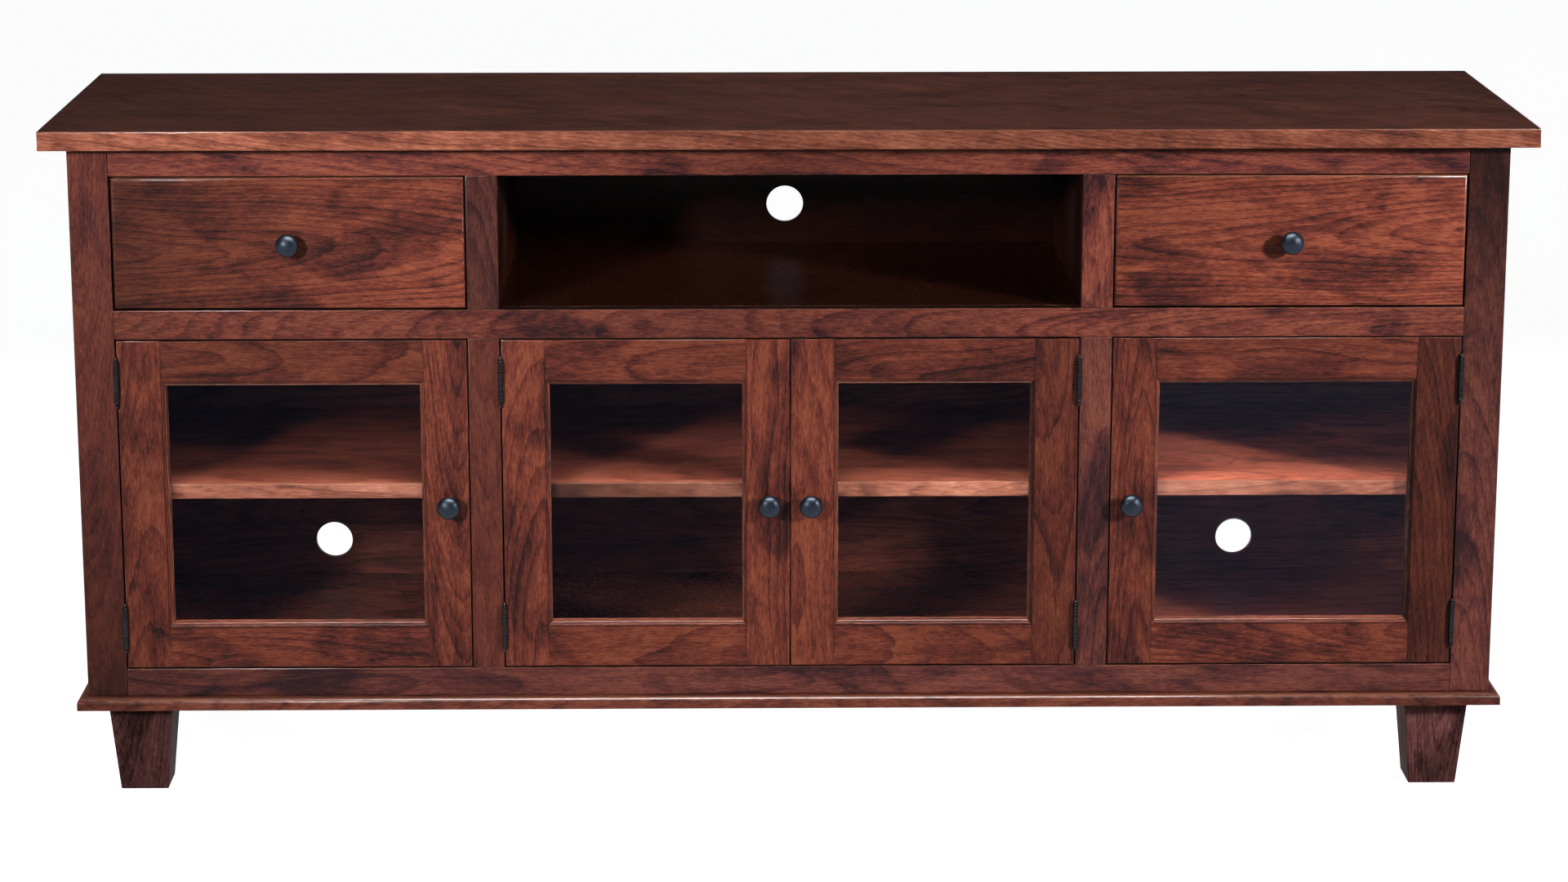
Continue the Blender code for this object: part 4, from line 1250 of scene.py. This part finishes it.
def add_knobs():
    """A knob on each drawer and door, turned to point forward."""
    mesh = knob_mesh()
    turn = (math.radians(90), 0, 0)
    for body in DRAWERS + DOORS:
        node = f"{body}_knob"
        low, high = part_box(node)
        place = ((low.x + high.x) / 2, high.y, (low.z + high.z) / 2)
        new_piece(f"{node}_turning", mesh, "knob_metal", body, [node], place, turn)


def ringed(low, high, step):
    """A knuckle's outline from low to high with a turned groove at each step, or plain with no step."""
    points = [(BARREL_RADIUS - RING_DEPTH, low), (BARREL_RADIUS, low + RING_HALF_WIDTH)]
    count = round((high - low) / step) if step else 1
    for index in range(1, count):
        z = low + (high - low) * index / count
        points += [
            (BARREL_RADIUS, z - RING_HALF_WIDTH),
            (BARREL_RADIUS - RING_DEPTH, z),
            (BARREL_RADIUS, z + RING_HALF_WIDTH),
        ]
    return points + [(BARREL_RADIUS, high - RING_HALF_WIDTH), (BARREL_RADIUS - RING_DEPTH, high)]


def hinge_meshes(end_step, middle_step):
    """The fixed leaf with pin and finials, and the door leaf, round the pin's axis."""
    half = BARREL_LENGTH / 2
    inner = half - END_KNUCKLE_LENGTH
    neck_z = half + COLLAR_HEIGHT
    shoulder_z = -neck_z - URN_SHOULDER_HEIGHT
    taper_z = shoulder_z - URN_TAPER_HEIGHT
    ball_z = neck_z + math.sqrt(BALL_RADIUS**2 - NECK_RADIUS**2)
    ball_start = -math.degrees(math.acos(NECK_RADIUS / BALL_RADIUS))
    bead_z = ball_z + BALL_RADIUS + BEAD_BALL_RADIUS / 2
    collar_in = BARREL_RADIUS - COLLAR_HEIGHT / 2
    collar_z = half + COLLAR_HEIGHT / 2
    collar_round = COLLAR_HEIGHT / 2 - COLLAR_GROOVE
    profile = [(0.0, taper_z - BEAD_BALL_RADIUS)]
    profile += arc((0.0, taper_z), BEAD_BALL_RADIUS, start=-70, end=20, steps=5)
    profile += arc((0.0, shoulder_z), BALL_RADIUS, start=-40, end=50, steps=6)
    profile.append((NECK_RADIUS, -neck_z))
    profile += arc((collar_in, -collar_z), collar_round, start=-90, end=90, steps=6)
    profile += ringed(-half, -inner, end_step)
    profile += [(PIN_RADIUS, -inner), (PIN_RADIUS, inner)]
    profile += ringed(inner, half, end_step)
    profile += arc((collar_in, collar_z), collar_round, start=-90, end=90, steps=6)
    profile += arc((0.0, ball_z), BALL_RADIUS, start=ball_start, end=58, steps=10)
    profile += arc((0.0, bead_z), BEAD_BALL_RADIUS, start=-30, end=80, steps=6)
    profile.append((0.0, bead_z + BEAD_BALL_RADIUS))
    window_y = LEAF_DEPTH - LEAF_SPINE_WIDTH
    tab_low = inner + LEAF_SHOULDER
    tab_high = half - LEAF_SHOULDER
    fixed_outline = [
        (0.0, -tab_high), (LEAF_DEPTH, -tab_high), (LEAF_DEPTH, tab_high), (0.0, tab_high),
        (0.0, tab_low), (window_y, tab_low), (window_y, -tab_low), (0.0, -tab_low),
    ]
    fixed = join_leaf("hinge_fixed_leaf", turned(profile, BARREL_SIDES), fixed_outline)

    bore = PIN_RADIUS + KNUCKLE_GAP
    knuckle = inner - KNUCKLE_GAP
    ring = [(bore, -knuckle), *ringed(-knuckle, knuckle, middle_step), (bore, knuckle)]
    leaf_z = knuckle - LEAF_SHOULDER
    leaf_front = (bore + BARREL_RADIUS) / 2
    leaf_rear = window_y - KNUCKLE_GAP
    door_outline = [(leaf_front, -leaf_z), (leaf_rear, -leaf_z), (leaf_rear, leaf_z), (leaf_front, leaf_z)]
    moving = join_leaf("hinge_door_leaf", turned(ring, BARREL_SIDES, closed=True), door_outline)
    return fixed, moving


def join_leaf(name, barrel, outline):
    """One mesh from a turned barrel and the flat leaf that grows out of it."""
    plate = bmesh.new()
    verts = [plate.verts.new((-LEAF_THICKNESS / 2, depth, height)) for depth, height in outline]
    extrude_along(plate, [plate.faces.new(verts)], (LEAF_THICKNESS, 0, 0))
    pair = []
    for label, shape in (("barrel", barrel), ("plate", plate)):
        pair.append(new_object(f"{name}_{label}", mesh_of(f"{name}_{label}", shape)))
    union = pair[0].modifiers.new("leaf", "BOOLEAN")
    union.operation = "UNION"
    union.object = pair[1]
    graph = bpy.context.evaluated_depsgraph_get()
    mesh = bpy.data.meshes.new_from_object(pair[0].evaluated_get(graph))
    mesh.name = name
    mesh.shade_smooth()
    mesh.set_sharp_from_angle(angle=SMOOTH_ANGLE)
    for item in pair:
        bpy.data.objects.remove(item)
    return mesh


def add_hinges():
    """Two hinges a door: plain middles with ringed ends outside, rings all along on the middle pair."""
    outer = hinge_meshes(END_RING_STEP, None)
    centre = hinge_meshes(RING_STEP / 2, RING_STEP)
    for door in DOORS:
        fixed, moving = centre if door.startswith("centre") else outer
        for level in ("upper", "lower"):
            hinge = f"{door}_{level}_hinge"
            low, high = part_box(f"{hinge}_door_leaf")
            place = ((low.x + high.x) / 2, low.y + BARREL_RADIUS, (low.z + high.z) / 2)
            for leaf, mesh, body in (("fixed_leaf", fixed, "case"), ("door_leaf", moving, door)):
                node = f"{hinge}_{leaf}"
                new_piece(f"{node}_work", mesh, "hinge_metal", body, [node], place)


def add_drawer(drawer):
    """A front with rounded edges and a box of five boards."""
    node = f"{drawer}_front"
    low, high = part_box(node)
    shape = box_shape(low, high)
    front_edges = [edge for edge in shape.edges if all(vert.co.y < low.y + SEAM for vert in edge.verts)]
    round_edges(shape, front_edges, DRAWER_FRONT_ROUND)
    name = f"{drawer}_face"
    mesh = mesh_of(name, shape)
    lay_grain(mesh, name, "x", "y", DRAWER_TONES[drawer], **DRAWER_CUTS[drawer])
    paint_gap_shade(mesh, (low, high), ("x-", "x+", "z-", "z+"), DRAWER_FRONT_ROUND)
    new_piece(name, mesh, "drawer_wood", drawer, [node])

    node = f"{drawer}_box"
    low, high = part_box(node)
    left_x = low.x + BOX_WALL + SEAM
    right_x = high.x - BOX_WALL - SEAM
    front_y = low.y + BOX_WALL + SEAM
    rear_y = high.y - BOX_WALL - SEAM
    boards = {
        "left_side": (low, (low.x + BOX_WALL, high.y, high.z), "y", "x"),
        "right_side": ((high.x - BOX_WALL, low.y, low.z), high, "y", "x"),
        "inner_front": ((left_x, low.y, low.z), (right_x, low.y + BOX_WALL, high.z), "x", "y"),
        "rear": ((left_x, high.y - BOX_WALL, low.z), (right_x, high.y, high.z), "x", "y"),
        "bottom": ((left_x, front_y, low.z), (right_x, rear_y, low.z + BOX_BOTTOM), "x", "z"),
    }
    for label, (corner_low, corner_high, along, face) in boards.items():
        name = f"{drawer}_box_{label}"
        add_board(name, corner_low, corner_high, along, face, "drawer_box_wood", [node], body=drawer)


def add_guides():
    """Strips on the deck beside each drawer box."""
    top_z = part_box("middle_rail")[1].z
    rear_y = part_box("middle_deck")[1].y - GUIDE_SETBACK
    for drawer in DRAWERS:
        low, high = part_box(f"{drawer}_box")
        left_x = low.x - GUIDE_CLEARANCE - GUIDE_WIDTH
        right_x = high.x + GUIDE_CLEARANCE
        for label, x in (("left", left_x), ("right", right_x)):
            corner_low = (x, low.y + GUIDE_SETBACK, top_z + SEAM)
            corner_high = (x + GUIDE_WIDTH, rear_y, top_z + GUIDE_HEIGHT)
            name = f"{drawer}_{label}_guide"
            add_board(name, corner_low, corner_high, "y", "z", "case_wood", ["middle_deck"])


def add_floor():
    """A pale floor that keeps the shadow and lights nothing, and looks white, also in glass and polish."""
    shape = bmesh.new()
    bmesh.ops.create_grid(shape, x_segments=2, y_segments=2, size=FLOOR_REACH)
    mesh = mesh_of("studio_floor", shape)
    floor = new_object("studio_floor", mesh)
    material, wire, shader = new_material("pale_floor")
    rays = wire.add("ShaderNodeLightPath").outputs
    seen = wire.math("MAXIMUM", rays["Is Camera Ray"], rays["Is Glossy Ray"])
    seen = wire.math("MAXIMUM", seen, rays["Is Transmission Ray"])
    seen = wire.math("MULTIPLY", seen, wire.math("LESS_THAN", rays["Diffuse Depth"], 0.5))
    wire.fill(
        shader,
        {
            "Emission Strength": wire.math("MULTIPLY", seen, FLOOR_WHITE),
            "Emission Color": (1.0, 1.0, 1.0, 1.0),
            "Base Color": (FLOOR_GREY, FLOOR_GREY, FLOOR_GREY, 1.0),
            "Roughness": FLOOR_ROUGHNESS,
            "Specular IOR Level": 0.0,
        },
    )
    mesh.materials.append(material)


def add_lights():
    """The soft boxes, each out of the camera's sight, and a dim surround."""
    for name, box in SOFTBOXES.items():
        lamp = bpy.data.lights.new(name, "AREA")
        lamp.shape = "RECTANGLE"
        lamp.size = box["size"]
        lamp.size_y = box.get("height", box["size"])
        lamp.energy = box["watts"]
        lamp.spread = math.radians(box["spread"])
        item = new_object(name, lamp)
        item.location = box["place"]
        item.visible_camera = False
        item.visible_diffuse = box.get("diffuse", True)
        aim = Vector(box["aim"]) - Vector(box["place"])
        item.rotation_euler = aim.to_track_quat("-Z", "Y").to_euler()
    world = bpy.data.worlds.new("dim_studio")
    world.use_nodes = True
    world.node_tree.nodes["Background"].inputs["Color"].default_value = SURROUND
    bpy.context.scene.world = world


def add_camera():
    """The photo's standpoint, pitched down: its shifted lens would push the console out of other views."""
    lens = bpy.data.cameras.new("photo_camera")
    lens.lens = CAMERA_LENS_MM
    lens.sensor_width = CAMERA_SENSOR_MM
    camera = new_object("photo_camera", lens)
    camera.location = CAMERA_PLACE
    camera.rotation_euler = (math.radians(90 - CAMERA_PITCH), 0.0, math.radians(CAMERA_YAW))
    bpy.context.scene.camera = camera


def main():
    bpy.context.scene.view_settings.view_transform = "Standard"
    add_camera()
    add_lights()
    add_floor()
    add_top()
    add_face_frame()
    add_case_panels()
    add_shelves()
    add_back()
    add_base()
    for door in DOORS:
        add_door(door)
    for drawer in DRAWERS:
        add_drawer(drawer)
    add_guides()
    add_knobs()
    add_hinges()


main()
